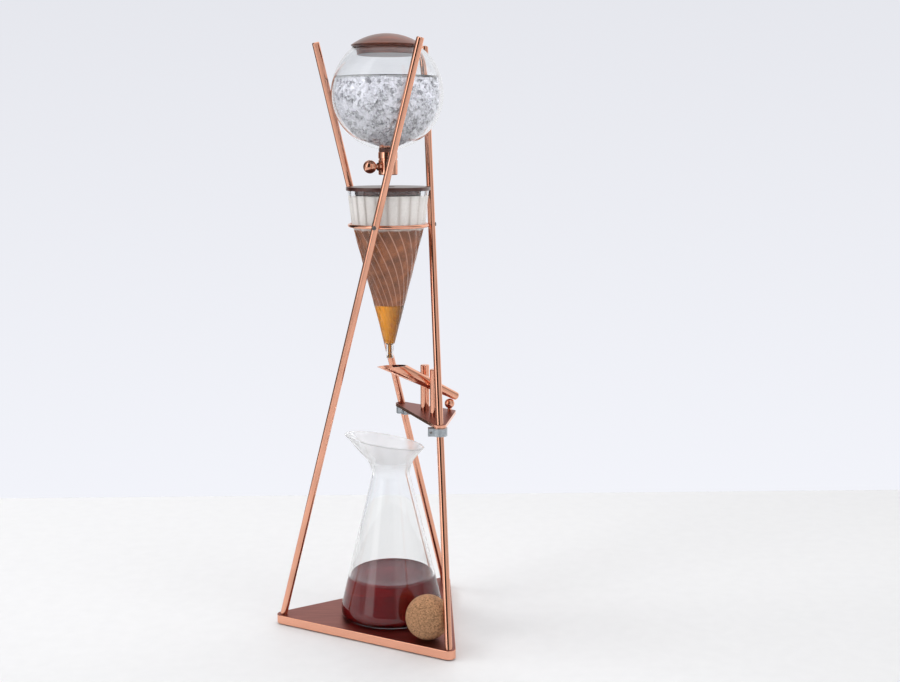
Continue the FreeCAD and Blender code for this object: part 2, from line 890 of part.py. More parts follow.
def water_bulb():
    """Thin glass sphere, open at the top, with a hole for the valve."""
    centre = at(0, 0, BULB_CENTRE)
    skin = primitive("Sphere", centre, Radius=dims.bulb_dia / 2)
    hollow = primitive("Sphere", centre, Radius=dims.bulb_dia / 2 - dims.bulb_wall)
    top = at(0, 0, BULB_CENTRE + dims.bulb_rim_above_centre)
    opening = cylinder(dims.bulb_dia, dims.bulb_dia, top)
    hole = cylinder(dims.bulb_hole_dia, dims.bulb_dia, at(0, 0, BULB_CENTRE - dims.bulb_dia))
    keep("water_bulb", cut(skin, hollow, opening, hole))


def spigot_top():
    """Height of the spigot's end above the valve's foot."""
    inside = dims.gasket_thick + dims.bulb_wall + dims.inner_gasket_thick + dims.valve_nut_high
    return dims.valve_high + inside + dims.spigot_proud


def needle_place(out):
    """Placement on the needle's axis, looking out from the valve."""
    foot = Vector(0, 0, (valve_foot() + dims.needle_above_foot).value)
    way = heading(dims.knob_heading)
    return aimed(foot + way * as_size(out).value, way)


def valve_body():
    """Turned valve body with a groove, a spigot, the drip way and the needle's cross bore."""
    outer = dims.valve_dia / 2
    waist = outer - dims.valve_groove_deep
    groove = dims.valve_groove_above_foot
    slope = dims.valve_groove_deep
    bore = dims.inlet_dia / 2
    drip = dims.drip_hole_dia / 2
    seat = dims.needle_above_foot
    body = turned([
        (drip, 0),
        (outer - dims.valve_bevel, 0),
        (outer, dims.valve_bevel),
        (outer, groove - slope),
        (waist, groove),
        (waist, groove + dims.valve_groove_high),
        (outer, groove + dims.valve_groove_high + slope),
        (outer, dims.valve_high - dims.valve_bevel),
        (outer - dims.valve_bevel, dims.valve_high),
        (dims.spigot_dia / 2, dims.valve_high),
        (dims.spigot_dia / 2, spigot_top()),
        (bore, spigot_top()),
        (bore, seat + bore),
        (drip, seat),
    ])
    body.Placement = at(0, 0, valve_foot())
    way = cylinder(dims.needle_dia + 2 * dims.fit_gap, dims.valve_dia, needle_place(0))
    gland = cylinder(dims.gland_hole_dia, dims.valve_dia, needle_place(dims.gland_floor_out))
    keep("valve_body", cut(body, way, gland))


def valve_packing():
    """Outer gasket, inner gasket and the round nut that hold the valve in the glass."""
    hole = dims.spigot_dia + 2 * dims.fit_gap
    foot = valve_foot() + dims.valve_high
    ring = cylinder(dims.gasket_dia, dims.gasket_thick * 3, at(0, 0, foot))
    bore = cylinder(hole, dims.gasket_thick * 3, at(0, 0, foot))
    glass = primitive("Sphere", at(0, 0, BULB_CENTRE), Radius=dims.bulb_dia / 2)
    keep("outer_gasket", cut(ring, bore, glass))
    edge = sphere_drop(dims.bulb_dia / 2 - dims.bulb_wall, dims.valve_nut_dia / 2)
    low = BULB_CENTRE - dims.bulb_dia / 2
    top = BULB_CENTRE - edge + dims.inner_gasket_thick
    disc = cylinder(dims.valve_nut_dia, top - low, at(0, 0, low))
    room = primitive("Sphere", at(0, 0, BULB_CENTRE), Radius=dims.bulb_dia / 2 - dims.bulb_wall)
    common = doc.addObject("Part::Common", "Common")
    common.Base = disc
    common.Tool = room
    keep("inner_gasket", cut(common, cylinder(hole, top - low, at(0, 0, low))))
    nut = cylinder(dims.valve_nut_dia, dims.valve_nut_high, at(0, 0, top))
    keep("valve_nut", cut(nut, cylinder(hole, dims.valve_nut_high, at(0, 0, top))))


def needle_set():
    """Gland nut, seal ring, needle and ball knob on the valve's side."""
    hole = dims.needle_dia / 2 + dims.fit_gap
    spigot = dims.gland_hole_dia / 2 - dims.fit_gap
    head = dims.gland_head_dia / 2
    start = dims.gland_thread_out
    shoulder = dims.gland_head_out
    nut = turned([
        (hole, start),
        (spigot, start),
        (spigot, shoulder),
        (head, shoulder),
        (head, shoulder + dims.gland_head_long),
        (hole, shoulder + dims.gland_head_long),
    ])
    nut.Placement = needle_place(0)
    keep("gland_nut", nut)
    middle = dims.needle_dia / 2 + dims.fit_gap + dims.seal_thick / 2
    place = needle_place(dims.gland_floor_out + dims.free_gap + dims.seal_thick / 2)
    keep("stem_seal", primitive("Torus", place, Radius1=middle, Radius2=dims.seal_thick / 2))
    tip = dims.needle_tip_dia / 2 - dims.drip_hole_dia / 2
    stem = turned([
        (0, tip),
        (dims.needle_tip_dia / 2, tip),
        (dims.needle_dia / 2, tip + dims.needle_tip_long),
        (dims.needle_dia / 2, dims.knob_out),
        (0, dims.knob_out),
    ])
    stem.Placement = needle_place(0)
    keep("needle_stem", stem)
    ball = primitive("Sphere", needle_place(dims.knob_out), Radius=dims.knob_dia / 2)
    neck = cylinder(dims.knob_neck_dia, dims.knob_out - dims.knob_neck_out, needle_place(dims.knob_neck_out))
    bore = cylinder(dims.needle_dia + 2 * dims.fit_gap, dims.knob_out, needle_place(dims.fit_gap))
    keep("knob_ball", cut(fuse(ball, neck), bore))


# Lids

def bulb_lid():
    """Wooden dome with a plug, and the seal ring in the plug's groove."""
    radius = dims.bulb_lid_dia / 2
    crown = dims.bulb_lid_crown
    dome = (radius * radius + crown * crown) / (2 * crown)
    seat = BULB_CENTRE + dims.bulb_rim_above_centre
    edge = seat + dims.bulb_lid_edge
    ball = primitive("Sphere", at(0, 0, edge + crown - dome), Radius=dome)
    above = cylinder(2 * dims.bulb_lid_dia, crown * 2, at(0, 0, edge))
    cap = doc.addObject("Part::Common", "Common")
    cap.Base = ball
    cap.Tool = above
    flare = primitive("Cone", at(0, 0, seat), Radius1=radius - dims.bulb_lid_edge, Radius2=radius,
                      Height=dims.bulb_lid_edge)
    plug = cylinder(dims.bulb_plug_dia, dims.bulb_plug_deep, at(0, 0, seat - dims.bulb_plug_deep))
    groove_low = seat - dims.bulb_plug_deep / 2 - dims.lid_seal_thick / 2
    groove = cylinder(dims.bulb_dia, dims.lid_seal_thick, at(0, 0, groove_low))
    core_dia = dims.bulb_plug_dia - 2 * dims.lid_seal_thick
    core = cylinder(core_dia, dims.lid_seal_thick, at(0, 0, groove_low))
    keep("bulb_lid", cut(fuse(cap, flare, plug), cut(groove, core)))
    inner = core_dia / 2 + dims.fit_gap
    outer = dims.bulb_plug_dia / 2 + dims.lid_seal_proud
    low = dims.fit_gap
    high = dims.lid_seal_thick - dims.fit_gap
    seal = turned([(inner, low), (outer, low), (outer, high), (inner, high)])
    seal.Placement = at(0, 0, groove_low)
    keep("lid_seal", seal)


def dripper_lid():
    """Wooden disc with a shallow plug and a hole for the drops."""
    radius = dims.dripper_lid_dia / 2
    bevel = dims.dripper_lid_bevel
    way = dims.drip_way_dia / 2
    plug = dims.dripper_plug_dia / 2
    thick = dims.dripper_lid_thick
    lid = turned([
        (way, -dims.dripper_plug_deep),
        (plug, -dims.dripper_plug_deep),
        (plug, 0),
        (radius - bevel, 0),
        (radius, bevel),
        (radius, thick - bevel),
        (radius - bevel, thick),
        (way, thick),
    ])
    lid.Placement = at(0, 0, ring_height() + dims.dripper_rim_above_ring)
    keep("dripper_lid", lid)


# Dripper

CONE_STEPS = 9


def fluted_wire(radius, height, turn):
    """One section of the glass: equal lobes that meet in sharp valleys."""
    count = int(dims.flute_count.value)
    depth = dims.flute_depth.value * radius / (dims.dripper_rim_dia.value / 2)
    step = 2 * math.pi / count
    start = math.radians(turn)

    def spot(angle, out):
        return Vector(out * math.cos(angle), out * math.sin(angle), height)

    arcs = []
    for number in range(count):
        valley = start + number * step
        low = spot(valley, radius - depth)
        crest = spot(valley + step / 2, radius)
        end = spot(valley + step, radius - depth)
        arcs.append(Part.Arc(low, crest, end).toShape())
    return Part.Wire(arcs)


def dripper_sections():
    """Radius, height and turn of the glass's sections, from its rim down to the end of its cone."""
    sections = [
        (dims.dripper_rim_dia.value / 2, dims.dripper_rim_above_ring.value, 0.0),
        (seat_radius(), 0.0, 0.0),
    ]
    top = -dims.dripper_shoulder_below_ring.value
    low = -dims.dripper_cone_below_ring.value
    wide = dims.dripper_shoulder_dia.value / 2
    narrow = dims.dripper_cone_dia.value / 2
    for step in range(CONE_STEPS + 1):
        share = step / CONE_STEPS
        radius = wide + (narrow - wide) * share
        sections.append((radius, top + (low - top) * share, dims.flute_swirl.value * share))
    return sections


def seat_radius():
    """Radius of the glass where it rests in the ring."""
    clear = dims.rod_dia / 2 + dims.ring_wire + dims.fit_gap + dims.free_gap
    return (ring_reach() - clear).value


def inner_profile(inset, floor, top):
    """Radius and height of a smooth wall inside the glass, an inset from its valleys."""
    share = 1 - dims.flute_depth.value / (dims.dripper_rim_dia.value / 2)
    sections = dripper_sections()
    corners = []
    for radius, height, turn in (sections[0], sections[1], sections[2], sections[-1]):
        corners.append((radius * share - inset, height))
    kept = [(at_height(corners, top), top)]
    kept += [(radius, height) for radius, height in corners if floor < height < top]
    kept.append((at_height(corners, floor), floor))
    return kept


def at_height(corners, height):
    """Radius of a profile at a height, between its two nearest corners."""
    for (wide, high), (narrow, low) in zip(corners, corners[1:]):
        if low <= height <= high:
            return narrow + (wide - narrow) * (height - low) / (high - low)
    end = corners[0] if height > corners[0][1] else corners[-1]
    return end[0]


def spun(profile, axis_low, axis_high):
    """A solid of revolution from radius and height pairs, closed on the axis."""
    points = [Vector(0, 0, axis_high)]
    points += [Vector(radius, 0, height) for radius, height in profile]
    points.append(Vector(0, 0, axis_low))
    face = Part.Face(Part.makePolygon(points + points[:1]))
    return face.revolve(Vector(0, 0, 0), UP, 360)


def dripper_cone():
    """Fluted glass, straight above the ring and swirling in the cone below, with an outlet tip."""
    wires = [fluted_wire(*section) for section in dripper_sections()]
    glass = Part.makeLoft(wires, True, True)
    tip = dims.dripper_tip_dia.value / 2
    low = -dims.dripper_tip_below_ring.value
    cone_low = -dims.dripper_cone_below_ring.value
    grip = dims.dripper_nozzle_grip.value
    nozzle = Part.makeCylinder(tip, cone_low + grip - low, Vector(0, 0, low))
    rim = dims.dripper_rim_above_ring.value
    outlet = dims.dripper_outlet_dia.value / 2
    floor = cone_low + dims.dripper_foot_thick.value
    profile = inner_profile(dims.dripper_wall.value, floor, rim)
    room = spun(profile, floor, rim)
    way = Part.makeCylinder(outlet, floor - low, Vector(0, 0, low))
    shape = glass.fuse(nozzle).cut(room).cut(way)
    part = doc.addObject("Part::Feature", "DripperGlass")
    part.Shape = shape
    part.Placement = at(0, 0, ring_height())
    keep("dripper_cone", part)


def paper_filter():
    """Paper cone that stands in the glass."""
    rim = dims.dripper_rim_above_ring.value - dims.filter_below_rim.value
    floor = -dims.filter_floor_below_ring.value
    outside = dims.dripper_wall.value + dims.free_gap.value
    thick = dims.filter_thick.value
    outer = spun(inner_profile(outside, floor, rim), floor, rim)
    inner = spun(inner_profile(outside + thick, floor + thick, rim), floor + thick, rim)
    part = doc.addObject("Part::Feature", "FilterPaper")
    part.Shape = outer.cut(inner)
    part.Placement = at(0, 0, ring_height())
    keep("paper_filter", part)


# Carafe and cork

def carafe_solid(inset, floor):
    """Solid of the carafe's outline, drawn in by an inset and starting at a floor height."""
    base = dims.carafe_base_dia.value / 2 - inset
    belly = dims.carafe_belly_high.value
    bend = dims.carafe_foot_round.value
    neck = dims.carafe_neck_dia.value / 2 - inset
    neck_high = dims.carafe_neck_high.value
    mouth = dims.carafe_mouth_dia.value / 2 - inset
    mouth_high = dims.carafe_mouth_high.value
    centre = Vector(base - bend, 0, floor + bend)
    low = centre + Vector(0, 0, -bend)
    side = centre + Vector(bend, 0, 0)
    middle = centre + Vector(1, 0, -1).normalize() * bend
    belly_spot = Vector(base, 0, max(belly, floor + bend + dims.carafe_belly_step.value))
    throat = Vector(
        neck + dims.carafe_throat_wider.value,
        0,
        neck_high - dims.carafe_throat_below_neck.value,
    )
    flare_start = Vector(
        neck + dims.carafe_flare_wider.value,
        0,
        neck_high + dims.carafe_flare_above_neck.value,
    )
    lip = Vector(
        mouth - dims.carafe_lip_narrower.value,
        0,
        mouth_high - dims.carafe_lip_below_mouth.value,
    )
    past = dims.carafe_past_mouth.value
    end = Vector(mouth + past, 0, mouth_high + past)
    flare = Part.BSplineCurve()
    flare.interpolate([
        throat,
        Vector(neck, 0, neck_high),
        flare_start,
        lip,
        Vector(mouth, 0, mouth_high),
        end,
    ])
    edges = [
        Part.makeLine(Vector(0, 0, floor), low),
        Part.Arc(low, middle, side).toShape(),
        Part.makeLine(side, belly_spot),
        Part.makeLine(belly_spot, throat),
        flare.toShape(),
        Part.makeLine(end, Vector(0, 0, end.z)),
        Part.makeLine(Vector(0, 0, end.z), Vector(0, 0, floor)),
    ]
    return Part.Face(Part.Wire(edges)).revolve(Vector(0, 0, 0), UP, 360)


def carafe():
    """Conical glass with a narrow neck, a flared mouth and a slanted rim."""
    glass = carafe_solid(0, 0).cut(carafe_solid(dims.carafe_wall.value, dims.carafe_floor.value))
    size = dims.carafe_base_dia.value * 3
    block = Part.makeBox(size, size, size, Vector(-size / 2, -size / 2, 0))
    across = heading(dims.carafe_rim_heading + 90)
    tilt = Rotation(across, -dims.carafe_rim_slope.value)
    block.Placement = at(0, 0, dims.carafe_rim_high, tilt)
    part = doc.addObject("Part::Feature", "CarafeGlass")
    part.Shape = glass.cut(block)
    part.Placement = at(0, 0, BASE_TOP)
    keep("carafe", part)


def cork_ball():
    """Cork ball that stops the carafe, lying on the plate."""
    height = BASE_TOP + dims.cork_dia / 2 + dims.free_gap
    place = at(dims.cork_right, -dims.cork_front, height)
    keep("cork_ball", primitive("Sphere", place, Radius=dims.cork_dia / 2))


def build():
    """Make every piece."""
    base_plate()
    base_pad()
    foot_screws()
    rods()
    dripper_ring()
    ring_screws()
    pour_platform()
    clamps()
    posts()
    pivot_pin()
    strike_ball()
    tipping_tube()
    tail_weight()
    pivot_bush()
    water_bulb()
    valve_body()
    valve_packing()
    needle_set()
    bulb_lid()
    dripper_cone()
    paper_filter()
    dripper_lid()
    carafe()
    cork_ball()


def check():
    """Stop on a failed object or a bad shape."""
    for item in doc.Objects:
        if "Invalid" in item.State or "Error" in item.State:
            raise RuntimeError("%s failed: %s" % (item.Name, item.State))
    for node, part in NODES.items():
        if part.Shape.isNull() or not part.Shape.isValid():
            raise RuntimeError("%s has no valid shape" % node)


def write():
    """One file for each node."""
    os.makedirs("parts", exist_ok=True)
    for node, part in NODES.items():
        part.Shape.exportStep("parts/%s.step" % node)
        print(node, len(part.Shape.Solids), round(part.Shape.Volume, 1))


build()
doc.recompute()
check()
write()
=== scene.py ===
"""Cold drip coffee tower: finishes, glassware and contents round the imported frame."""
import math

import bmesh
import bpy
from bpy.props import FloatProperty, FloatVectorProperty, IntProperty, PointerProperty
from bpy.types import Operator, Panel, PropertyGroup
from mathutils import Matrix, Vector, noise


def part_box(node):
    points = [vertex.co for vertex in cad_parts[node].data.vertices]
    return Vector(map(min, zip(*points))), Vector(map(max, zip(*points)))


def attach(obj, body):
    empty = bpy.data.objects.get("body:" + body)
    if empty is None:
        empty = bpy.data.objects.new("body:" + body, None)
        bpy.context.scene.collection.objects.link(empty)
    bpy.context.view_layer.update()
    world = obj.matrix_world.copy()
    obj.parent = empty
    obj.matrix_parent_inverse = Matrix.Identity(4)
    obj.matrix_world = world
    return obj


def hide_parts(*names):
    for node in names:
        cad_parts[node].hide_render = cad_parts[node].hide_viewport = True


bl_info = {
    "name": "Cold drip coffee tower",
    "version": (1, 0, 0),
    "blender": (4, 5, 0),
    "location": "View3D > Sidebar > Drip tower",
    "description": "Dresses the tower's frame with glass, wood, cork, copper and coffee",
    "category": "Object",
}

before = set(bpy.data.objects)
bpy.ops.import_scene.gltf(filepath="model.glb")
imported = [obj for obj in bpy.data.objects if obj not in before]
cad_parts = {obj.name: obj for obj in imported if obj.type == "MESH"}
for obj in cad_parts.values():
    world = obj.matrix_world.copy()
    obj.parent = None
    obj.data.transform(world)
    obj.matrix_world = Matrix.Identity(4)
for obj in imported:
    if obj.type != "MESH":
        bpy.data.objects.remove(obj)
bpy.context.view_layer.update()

MM = 0.001
TINY = 1e-7

PLATE_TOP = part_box("base_plate")[1].z
BULB_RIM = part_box("water_bulb")[1].z
DRIPPER_TIP, DRIPPER_RIM = (corner.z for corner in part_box("dripper_cone"))
RING_LOW, RING_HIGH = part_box("dripper_ring")
RING_Z = (RING_LOW.z + RING_HIGH.z) / 2
FILTER_FLOOR, FILTER_TOP = (corner.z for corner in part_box("paper_filter"))


def size(name, default, description):
    """A length in metres that a user can change."""
    return FloatProperty(name=name, description=description, default=default, unit="LENGTH", precision=4)


def colour(name, default, description):
    """A colour that a user can change."""
    return FloatVectorProperty(name=name, description=description, default=default, subtype="COLOR", size=3)


class TowerSizes(PropertyGroup):
    """Sizes of the pieces that are made here."""

    bulb_radius: size("Bulb radius", 60 * MM, "Outer radius of the water bulb")
    bulb_wall: size("Bulb wall", 1.8 * MM, "Thickness of the bulb's glass")
    bulb_rim_up: size("Bulb rim height", 48 * MM, "Height of the bulb's rim above its centre")
    bulb_hole: size("Bulb hole radius", 6.3 * MM, "Radius of the hole for the valve")
    water_up: size("Water level", 17 * MM, "Height of the water above the bulb's centre")
    flutes: IntProperty(name="Flutes", description="Flutes round the dripper", default=20, subtype="UNSIGNED")
    flute_depth: size("Flute depth", 1.5 * MM, "Depth of the valleys between flutes at the rim")
    flute_swirl: FloatProperty(
        name="Flute swirl",
        description="Turn of the flutes from the shoulder to the tip",
        default=math.radians(105),
        subtype="ANGLE",
    )
    dripper_wall: size("Dripper wall", 1.6 * MM, "Thickness of the dripper's glass in its valleys")
    carafe_wall: size("Carafe wall", 2 * MM, "Thickness of the carafe's glass")
    carafe_floor: size("Carafe floor", 3.5 * MM, "Thickness of the carafe's floor")
    coffee_level: size("Coffee level", 47.5 * MM, "Height of the coffee above the base plate")
    cork_radius: size("Cork ball radius", 24.2 * MM, "Radius of the cork ball")


class TowerColours(PropertyGroup):
    """Colours of the finishes."""

    copper: colour("Copper", (0.89, 0.44, 0.30), "Polished copper")
    # The plate face colour is painted shade: upward faces of the plates get it in place of the copper that
    # their sides keep.
    plate: colour("Plate face", (0.30, 0.105, 0.085), "Brushed upper face of the plates")
    walnut: colour("Walnut", (0.165, 0.050, 0.030), "Wood of the bulb's lid")
    dark_walnut: colour("Dark walnut", (0.085, 0.026, 0.020), "Wood of the dripper's lid")
    cork: colour("Cork", (0.46, 0.245, 0.125), "Cork ball")
    coffee: colour("Coffee", (0.34, 0.006, 0.009), "Brewed coffee in the carafe")
    fresh_coffee: colour("Fresh coffee", (1.0, 0.38, 0.012), "Filtered coffee in the dripper's tip")
    grounds: colour("Grounds", (0.25, 0.085, 0.032), "Ground coffee and stained paper")
    ice: colour("Ice", (0.97, 0.96, 1.0), "Crushed ice")
    backdrop: colour("Backdrop", (0.80, 0.81, 0.86), "Pale backdrop")


def sizes():
    """The scene's sizes."""
    return bpy.context.scene.tower_sizes


def tint_of(name):
    """One of the scene's colours, as plain numbers."""
    return tuple(getattr(bpy.context.scene.tower_colours, name))


def scaled(tint, factor):
    """A colour made lighter or darker."""
    return tuple(min(1.0, channel * factor) for channel in tint)


# Shader nodes

class Nodes:
    """Short ways to add nodes to a shader tree."""

    def __init__(self, tree):
        self.nodes = tree.nodes
        self.links = tree.links

    def add(self, kind, **settings):
        """A node with its properties set."""
        node = self.nodes.new("ShaderNode" + kind)
        for name, value in settings.items():
            setattr(node, name, value)
        return node

    def put(self, source, target):
        """Join an output to an input, or set the input to a constant."""
        if isinstance(source, bpy.types.NodeSocket):
            self.links.new(source, target)
        else:
            target.default_value = source

    def math(self, operation, *sources):
        """A math node's result."""
        node = self.add("Math", operation=operation)
        for source, target in zip(sources, node.inputs):
            self.put(source, target)
        return node.outputs[0]

    def span(self, source, low, high, to_low=0, to_high=1):
        """A value brought from one range to another, held at its ends."""
        node = self.add("MapRange")
        ends = {"From Min": low, "From Max": high, "To Min": to_low, "To Max": to_high}
        for name, value in ends.items():
            node.inputs[name].default_value = value
        self.put(source, node.inputs["Value"])
        return node.outputs["Result"]

    def ramp(self, source, *stops):
        """Colours along a value, from pairs of position and colour in rising order."""
        node = self.add("ValToRGB")
        band = node.color_ramp
        while len(band.elements) < len(stops):
            band.elements.new(0.5)
        for element, (position, tint) in zip(band.elements, stops):
            element.position = position
            element.color = (*tint, 1)
        self.put(source, node.inputs["Fac"])
        return node.outputs["Color"]

    def mix(self, share, one, two):
        """Two colours mixed by a share."""
        node = self.add("Mix", data_type="RGBA")
        factor, *others = [socket for socket in node.inputs if socket.enabled]
        self.put(share, factor)
        for source, target in zip((one, two), others):
            self.put(source if isinstance(source, bpy.types.NodeSocket) else (*source, 1), target)
        return next(socket for socket in node.outputs if socket.enabled)

    def axes(self, source):
        """X, Y and Z of a vector."""
        split = self.add("SeparateXYZ")
        self.put(source, split.inputs["Vector"])
        return split.outputs

    def channels(self, source):
        """Red, green and blue of a colour."""
        split = self.add("SeparateColor")
        self.put(source, split.inputs["Color"])
        return split.outputs


class Finish(Nodes):
    """A material with its shader; patterns read the piece's own coordinates."""

    def __init__(self, name, **settings):
        self.material = bpy.data.materials.new(name)
        self.material.use_nodes = True
        super().__init__(self.material.node_tree)
        self.shader = self.nodes["Principled BSDF"]
        for socket, value in settings.items():
            self.shader.inputs[socket.replace("_", " ")].default_value = value

    def place(self, stretch=(1, 1, 1), centre=(0, 0, 0)):
        """Object coordinates, moved to a centre and stretched."""
        mapping = self.add("Mapping")
        mapping.inputs["Location"].default_value = [-c * s for c, s in zip(centre, stretch)]
        mapping.inputs["Scale"].default_value = stretch
        self.put(self.add("TexCoord").outputs["Object"], mapping.inputs["Vector"])
        return mapping.outputs["Vector"]

    def own_axes(self):
        """The piece's own X, Y and Z."""
        return self.axes(self.add("TexCoord").outputs["Object"])

    def flutes(self):
        """How near a point is to a valley of the swirling flutes: 0 on one, 1 midway."""
        x, y, z = self.own_axes()
        turn = self.span(z, DRIPPER_FOOT, DRIPPER_SHOULDER, sizes().flute_swirl, 0)
        phase = self.math("SUBTRACT", self.math("ARCTAN2", y, x), turn)
        return self.math("ABSOLUTE", self.math("SINE", self.math("MULTIPLY", phase, sizes().flutes / 2)))

    def cloud(self, scale=1.0, detail=4.0, rough=0.5, spot=None, twist=0.0):
        """Noise over the piece."""
        node = self.add("TexNoise")
        node.inputs["Scale"].default_value = scale
        node.inputs["Detail"].default_value = detail
        node.inputs["Roughness"].default_value = rough
        node.inputs["Distortion"].default_value = twist
        self.put(spot or self.place(), node.inputs["Vector"])
        return node.outputs["Fac"]

    def cells(self, scale, feature="F1", spot=None):
        """Cells over the piece, with their distance and their colour."""
        node = self.add("TexVoronoi", feature=feature)
        node.inputs["Scale"].default_value = scale
        self.put(spot or self.place(), node.inputs["Vector"])
        return node.outputs

    def bump(self, source, strength, height):
        """A raised pattern."""
        node = self.add("Bump")
        node.inputs["Strength"].default_value = strength
        node.inputs["Distance"].default_value = height
        self.put(source, node.inputs["Height"])
        self.put(node.outputs["Normal"], self.shader.inputs["Normal"])

    def colour(self, source):
        """The shader's colour."""
        self.put(source, self.shader.inputs["Base Color"])

    def gloss(self, source, smooth, rough):
        """The shader's roughness, between two values by a pattern."""
        self.rough(self.span(source, low=0.3, high=0.7, to_low=smooth, to_high=rough))

    def rough(self, source):
        """The shader's roughness."""
        self.put(source, self.shader.inputs["Roughness"])


# Finishes

def copper_finish():
    """Polished copper with faint drawn lines and a little handling haze."""
    tint = tint_of("copper")
    finish = Finish("copper_polished", Metallic=1.0)
    haze = finish.cloud(scale=38, detail=6)
    finish.colour(finish.mix(finish.span(haze, low=0.35, high=0.7), tint, scaled(tint, 0.88)))
    finish.gloss(haze, smooth=0.07, rough=0.15)
    drawn = finish.cloud(detail=5, spot=finish.place(stretch=(2600, 2600, 45)))
    finish.bump(drawn, strength=0.05, height=0.06 * MM)
    return finish.material


def plate_with_shaded_top_finish():
    """Flat brushed plate: a dark satin face over bright copper edges; the brushed grain is real, the darker
    tone of the upward face is painted shade.
    """
    face = tint_of("plate")
    finish = Finish("plate_brushed_shaded_top", Metallic=1.0)
    facing = finish.axes(finish.add("NewGeometry").outputs["Normal"])["Z"]
    # Painted shade: faces that point up take the darker brushed tone, and the sides keep the bright copper.
    shaded_top = finish.span(facing, low=0.86, high=0.97)
    grain = finish.cloud(detail=7, rough=0.6, spot=finish.place(stretch=(30, 900, 400)))
    brushed = finish.mix(finish.span(grain, low=0.3, high=0.7), scaled(face, 0.80), scaled(face, 1.25))
    finish.colour(finish.mix(shaded_top, tint_of("copper"), brushed))
    finish.rough(finish.span(shaded_top, low=0, high=1, to_low=0.16, to_high=0.42))
    finish.bump(grain, strength=0.10, height=0.1 * MM)
    return finish.material


def two_tone_finish(
    name, scale, dark, light, smooth, rough, strength, height, detail=4.0, light_at=0.7, **settings,
):
    """A fine grain between two tones."""
    finish = Finish(name, **settings)
    grain = finish.cloud(scale, detail)
    finish.colour(finish.ramp(grain, (0.3, dark), (light_at, light)))
    finish.gloss(grain, smooth, rough)
    finish.bump(grain, strength, height)
    return finish.material


def screw_finish():
    """Darkened steel screws."""
    return two_tone_finish(
        "screw_steel", scale=300, detail=5, dark=(0.16, 0.15, 0.15), light=(0.34, 0.32, 0.31),
        smooth=0.25, rough=0.42, strength=0.12, height=0.08 * MM, Metallic=1.0,
    )


def clamp_finish():
    """Cast grey clamp metal."""
    return two_tone_finish(
        "clamp_cast", scale=420, detail=6, dark=(0.34, 0.37, 0.40), light=(0.58, 0.62, 0.65), light_at=0.72,
        smooth=0.30, rough=0.46, strength=0.2, height=0.1 * MM, Metallic=0.85,
    )


def rubber_finish():
    """Black rubber sheet."""
    return two_tone_finish(
        "pad_rubber", scale=700, dark=(0.012, 0.012, 0.013), light=(0.035, 0.034, 0.034),
        smooth=0.68, rough=0.88, strength=0.3, height=0.2 * MM,
    )


def silicone_finish():
    """Dark silicone of the seals."""
    return two_tone_finish(
        "seal_silicone", scale=240, detail=3, dark=(0.15, 0.065, 0.05), light=(0.21, 0.095, 0.07),
        smooth=0.35, rough=0.5, strength=0.05, height=0.1 * MM, IOR=1.41,
    )


def glass_finish(name, haze=0.012, misted=None):
    """Clear glass with the slight unevenness of blown work, misted over a span of heights."""
    finish = Finish(name, Transmission_Weight=1.0, IOR=1.45, Base_Color=(0.985, 0.992, 0.992, 1))
    waves = finish.cloud(scale=16, detail=2)
    finish.bump(waves, strength=0.04, height=0.6 * MM)
    if misted:
        mist = finish.span(finish.own_axes()["Z"], *misted)
        clear = finish.span(mist, low=0, high=1, to_low=1.0, to_high=0.72)
        finish.rough(finish.span(mist, low=0, high=1, to_low=0.0, to_high=0.20))
        finish.put(clear, finish.shader.inputs["Transmission Weight"])
    else:
        finish.gloss(waves, smooth=0.0, rough=haze)
    return finish.material


def wood_finish(name, tint, centre, gloss):
    """Oiled walnut: long figure, fine pores and paler streaks."""
    finish = Finish(name, Coat_Weight=0.25, Coat_Roughness=0.25)
    lengthwise = finish.place(stretch=(9, 62, 62), centre=centre)
    figure = finish.cloud(scale=1.6, detail=6, rough=0.55, spot=lengthwise, twist=0.9)
    needles = finish.place(stretch=(120, 2400, 2400), centre=centre)
    pores = finish.cloud(detail=3, rough=0.6, spot=needles)
    base = finish.ramp(
        figure,
        (0.28, scaled(tint, 0.42)),
        (0.47, scaled(tint, 0.88)),
        (0.58, scaled(tint, 1.25)),
        (0.72, scaled(tint, 1.75)),
    )
    open_pores = finish.span(pores, low=0.56, high=0.68, to_high=0.75)
    finish.colour(finish.mix(open_pores, base, scaled(tint, 0.25)))
    finish.gloss(figure, smooth=gloss, rough=gloss + 0.12)
    finish.bump(pores, strength=0.22, height=0.1 * MM)
    return finish.material


def cork_finish(centre):
    """Pressed cork: granules of several tans with dark bark specks between them."""
    tint = tint_of("cork")
    granules_per_metre = 760
    finish = Finish("cork_pressed")
    spot = finish.place(centre=centre)
    granules = finish.cells(granules_per_metre, spot=spot)
    base = finish.ramp(
        finish.channels(granules["Color"])["Red"],
        (0.0, scaled(tint, 0.58)),
        (0.4, scaled(tint, 0.95)),
        (1.0, scaled(tint, 1.30)),
    )
    specks = finish.cloud(scale=380, detail=6, rough=0.7, spot=spot)
    bark = finish.span(specks, low=0.55, high=0.66, to_high=0.85)
    finish.colour(finish.mix(bark, base, scaled(tint, 0.30)))
    finish.gloss(specks, smooth=0.78, rough=0.92)
    seams = finish.cells(granules_per_metre, feature="DISTANCE_TO_EDGE", spot=spot)
    finish.bump(finish.span(seams["Distance"], low=0, high=0.16), strength=0.45, height=0.3 * MM)
    return finish.material


